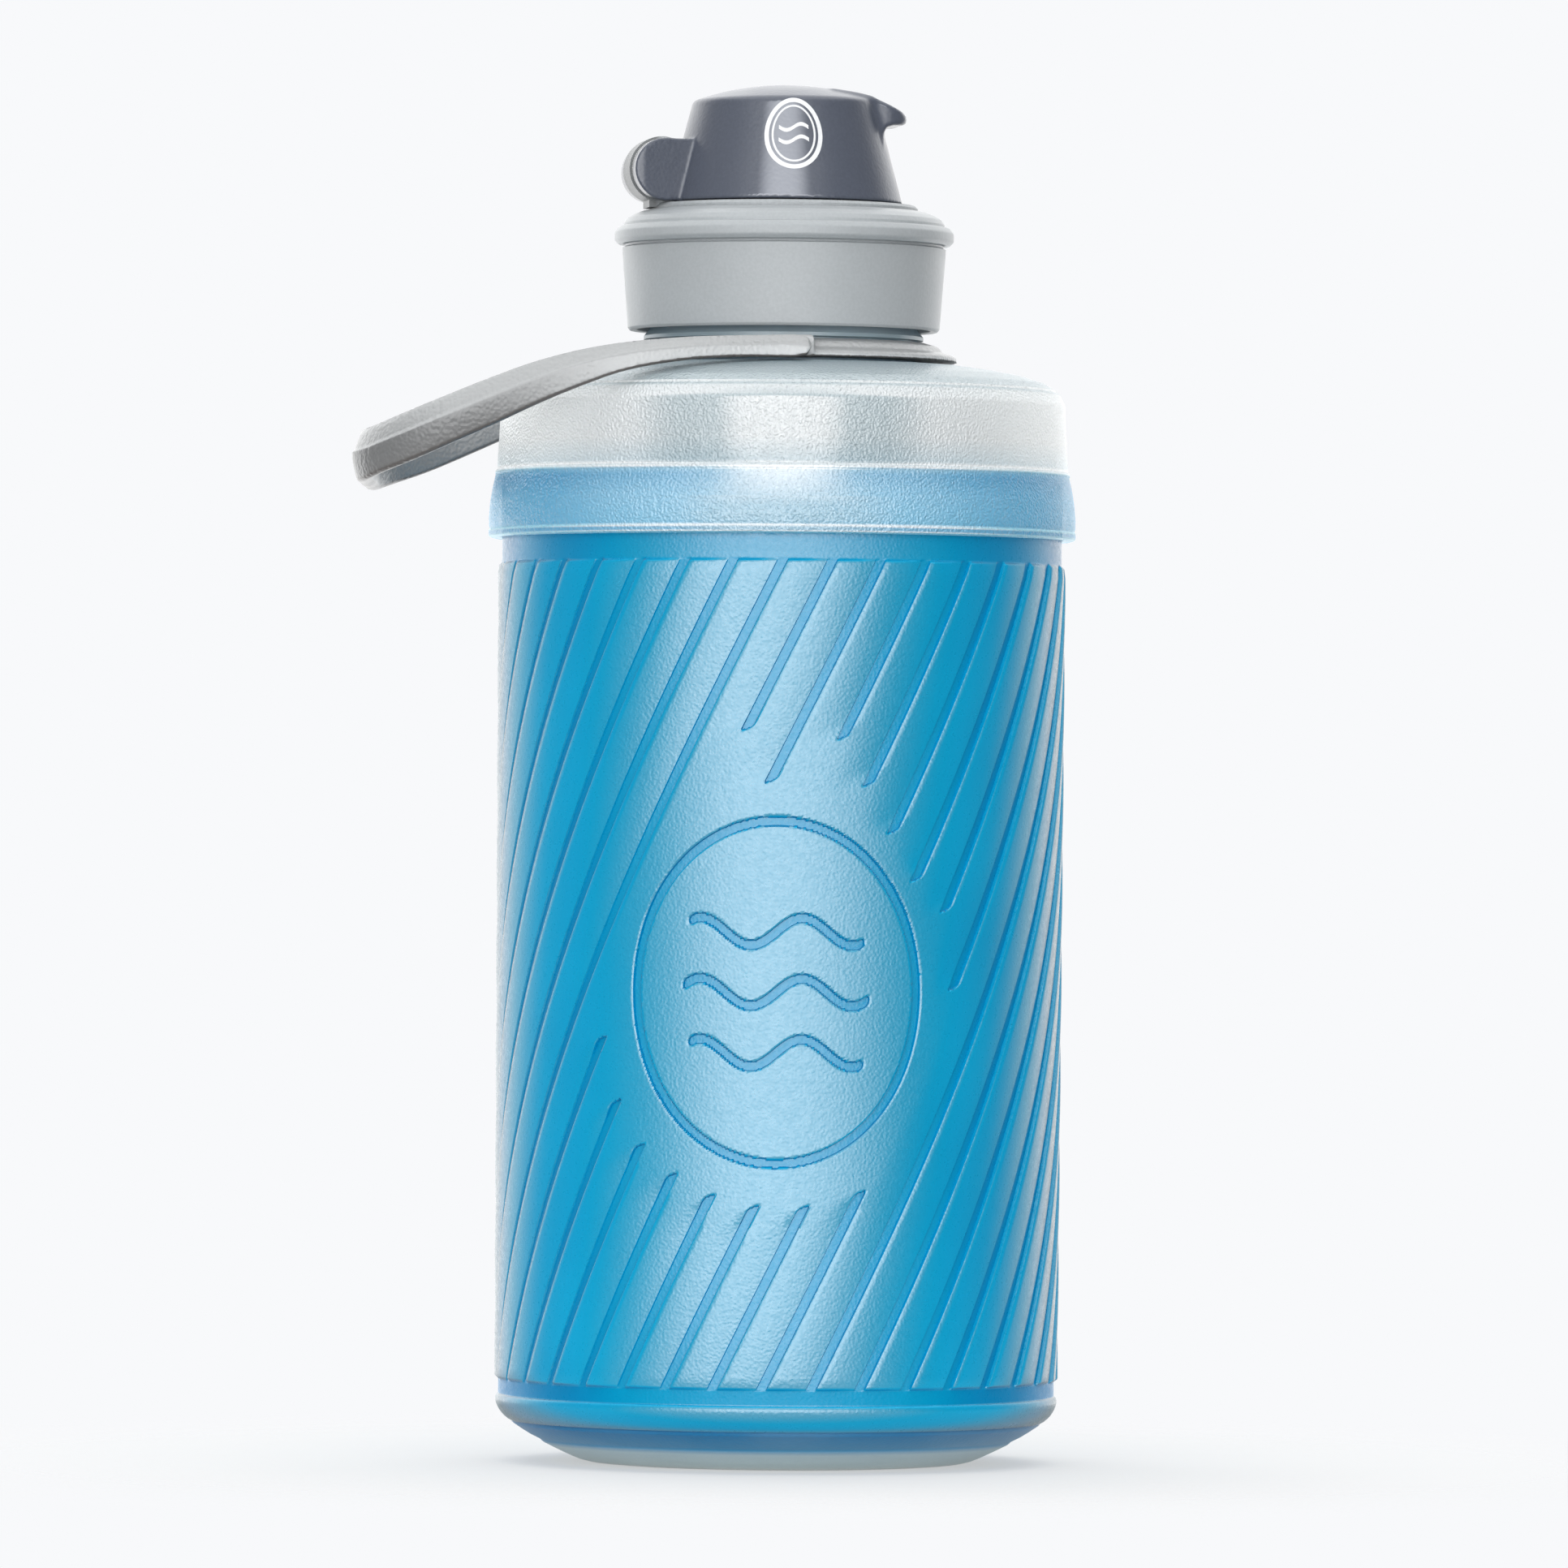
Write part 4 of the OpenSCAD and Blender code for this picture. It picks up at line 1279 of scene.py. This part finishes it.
def wave_strip(middle):
    """Pairs of lower and upper points along a wavy line."""
    half, swing, wavelength, width = 2.1, 0.45, 4.2, 0.55
    strip = []
    for i in range(41):
        x = -half + 2 * half * i / 40
        y = middle + swing * math.sin(2 * math.pi * x / wavelength)
        strip.append(((x, y - width / 2), (x, y + width / 2)))
    return strip, False


def build_badge():
    """A plain printed mark, two oval rings round two waves, a hair proud of the -Y wall."""
    middle_angle = math.radians(-90 + 3.8)
    middle_z, wall_radius = 189.3, 14.3
    proud, sunk = 0.05, -0.15
    points, faces = [], []
    lines = (oval_strip(4.1, 5.1, 0.62), oval_strip(3.1, 4.1, 0.28), wave_strip(0.9), wave_strip(-0.9))
    for strip, closed in lines:
        first, count = len(points), len(strip)
        for one, other in strip:
            points += [(*one, proud), (*one, sunk), (*other, sunk), (*other, proud)]
        for i in range(count if closed else count - 1):
            here, ahead = first + 4 * i, first + 4 * ((i + 1) % count)
            for j in range(4):
                k = (j + 1) % 4
                faces.append([here + j, here + k, ahead + k, ahead + j])
        if not closed:
            last = first + 4 * (count - 1)
            faces += [[first + j for j in (0, 3, 2, 1)], [last + j for j in range(4)]]
    # each point goes onto the lid's wall along its own heading
    across, up, lift = np.array(points, float).T
    angle = middle_angle + across / wall_radius - LID_YAW
    low, high = np.full(len(across), 9.0), np.full(len(across), 17.5)
    for _ in range(24):
        middle = 0.5 * (low + high)
        x, y = CAVITY_X + middle * np.cos(angle), middle * np.sin(angle)
        inside = lid_outer(x, y, middle_z + up) < 0
        low, high = np.where(inside, middle, low), np.where(inside, high, middle)
    r = low + lift
    placed = np.stack([CAVITY_X + r * np.cos(angle), r * np.sin(angle), middle_z + up], -1)
    return add_mesh("lid_badge", turned(placed, LID_YAW), faces, smooth=False)


badge = build_badge()
dress(badge, PRINT)

# ---------------------------------------------------------------- consistent normals
for ob in (
    sleeve, foot_band, top_band, shoulder, base, handle, collar, cap, thread, lid, badge,
):  # fmt: skip
    editable = bmesh.new()
    editable.from_mesh(ob.data)
    bmesh.ops.recalc_face_normals(editable, faces=editable.faces)
    editable.to_mesh(ob.data)
    editable.free()

# ---------------------------------------------------------------- CAD parts that stay
CAD_MATERIALS = {
    "neck_finish": NECK,
    "cap_gasket": SILICONE,
    "spout_insert": SPOUT_GREY,
    "spout_o_ring": BLACK,
    "lid_seal": SILICONE,
    "hinge_pin": STEEL,
    "hinge_washers": WHITE,
}
for name, material in CAD_MATERIALS.items():
    assign(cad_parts[name], material)

# ---------------------------------------------------------------- what moves with what
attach(base, "base")
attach(sleeve, "sleeve")
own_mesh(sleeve)  # fmt: skip
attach(foot_band, "base")
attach(top_band, "top")
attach(shoulder, "top")
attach(collar, "collar")
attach(handle, "bail")
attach(cap, "cap")
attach(thread, "cap")
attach(lid, "lid")
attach(badge, "lid")

# ---------------------------------------------------------------- floor
BACKDROP = srgb(248, 249, 251)


def floor_material():
    """Pale, partly self-lit, fading to nothing away from the bottle."""
    tree = new_material("floor_pale")
    distance = tree.add("ShaderNodeVectorMath", {0: tree.coord()}, operation="LENGTH")
    matt = tree.add("ShaderNodeBsdfDiffuse", {"Color": (0.72, 0.72, 0.71, 1)}).outputs[0]
    seen = tree.add("ShaderNodeLightPath").outputs["Is Camera Ray"]
    strength = tree.ease(seen, over=(0.0, 1.0), to=(0.6, 1.0))
    glow = tree.add("ShaderNodeEmission", {"Color": BACKDROP, "Strength": strength}).outputs[0]
    pale = tree.mix_shader(0.45, matt, glow)
    clear = tree.add("ShaderNodeBsdfTransparent").outputs[0]
    fade = tree.ease(distance.outputs["Value"], over=(0.06, 0.16))
    return tree.finish(tree.mix_shader(fade, pale, clear))


FLOOR_HALF, FLOOR_Z = 900, -0.02
floor_corners = [
    (x * FLOOR_HALF, y * FLOOR_HALF, FLOOR_Z) for x, y in ((-1, -1), (1, -1), (1, 1), (-1, 1))
]
floor = add_mesh("floor", floor_corners, [[0, 1, 2, 3]], smooth=False)
assign(floor, floor_material())


# ---------------------------------------------------------------- world
def build_world():
    """Studio light by direction; the camera itself sees a plain pale backdrop."""
    tree = Nodes(bpy.data.worlds.new("studio"))
    scene.world = tree.owner
    direction = tree.add("ShaderNodeSeparateXYZ", {0: tree.coord("Generated")}).outputs
    x, y, z = direction["X"], direction["Y"], direction["Z"]
    # angle from the camera's side: 0 towards the camera, pi behind the object
    sideways = tree.math("ABSOLUTE", tree.math("ADD", x, 0.05))
    azimuth = tree.math("ARCTAN2", sideways, tree.product(y, -1.0))
    front_over, back_over = np.radians([10, 56]), np.radians([106, 142])
    front = tree.ease(azimuth, over=front_over, to=(1.0, 0.0))
    strip = tree.product(
        tree.ease(z, over=(-0.42, -0.12)), tree.ease(z, over=(0.30, 0.65), to=(1.0, 0.0))
    )
    back = tree.ease(azimuth, over=back_over)
    left = tree.ease(x, over=(-0.3, 0.3), to=(1.0, 0.0))  # towards -X
    above = tree.ease(z, over=(0.50, 0.85))
    below = tree.ease(z, over=(-0.60, -0.15), to=(1.0, 0.0))
    # strengths: front strip 3.1, back wall and fill by side, ceiling 1.6, ground 0.25
    level = tree.product(front, strip, 3.1)
    wall = tree.product(back, tree.ease(left, over=(0.0, 1.0), to=(1.55, 1.75)))
    level = tree.math("ADD", level, wall)
    level = tree.math("ADD", level, tree.ease(left, over=(0.0, 1.0), to=(0.23, 0.36)))
    level = tree.math("MAXIMUM", level, tree.product(above, 1.6))
    level = tree.math("MAXIMUM", level, tree.product(below, 0.25))
    light = tree.add("ShaderNodeBackground", {"Color": (1, 1, 1, 1), "Strength": level})
    backdrop = tree.add("ShaderNodeBackground", {"Color": BACKDROP, "Strength": 1.0})
    seen = tree.add("ShaderNodeLightPath").outputs["Is Camera Ray"]
    shader = tree.mix_shader(seen, light.outputs[0], backdrop.outputs[0])
    tree.finish(shader, "ShaderNodeOutputWorld")


build_world()

# ---------------------------------------------------------------- camera and render
CAMERA_PLACE = (0.0006, -1.80, 0.0878)  # metres
CAMERA_ROLL = math.radians(0.42)
level_view = Matrix.Rotation(math.radians(90), 3, "X")  # looks along +Y

camera_data = bpy.data.cameras.new("camera")
camera = bpy.data.objects.new("camera", camera_data)
scene.collection.objects.link(camera)
camera_data.sensor_width = 36.0
camera_data.lens = 288.8
camera_data.shift_y = 0.04089027  # share of the frame's longer side
camera_data.clip_start, camera_data.clip_end = 0.05, 20
camera.rotation_mode = "QUATERNION"
camera.location = CAMERA_PLACE
camera.rotation_quaternion = (level_view @ Matrix.Rotation(CAMERA_ROLL, 3, "Z")).to_quaternion()
scene.camera = camera

scene.view_settings.view_transform = "Standard"
scene.view_settings.look = "None"
scene.cycles.use_denoising = True
scene.cycles.transparent_max_bounces = 24
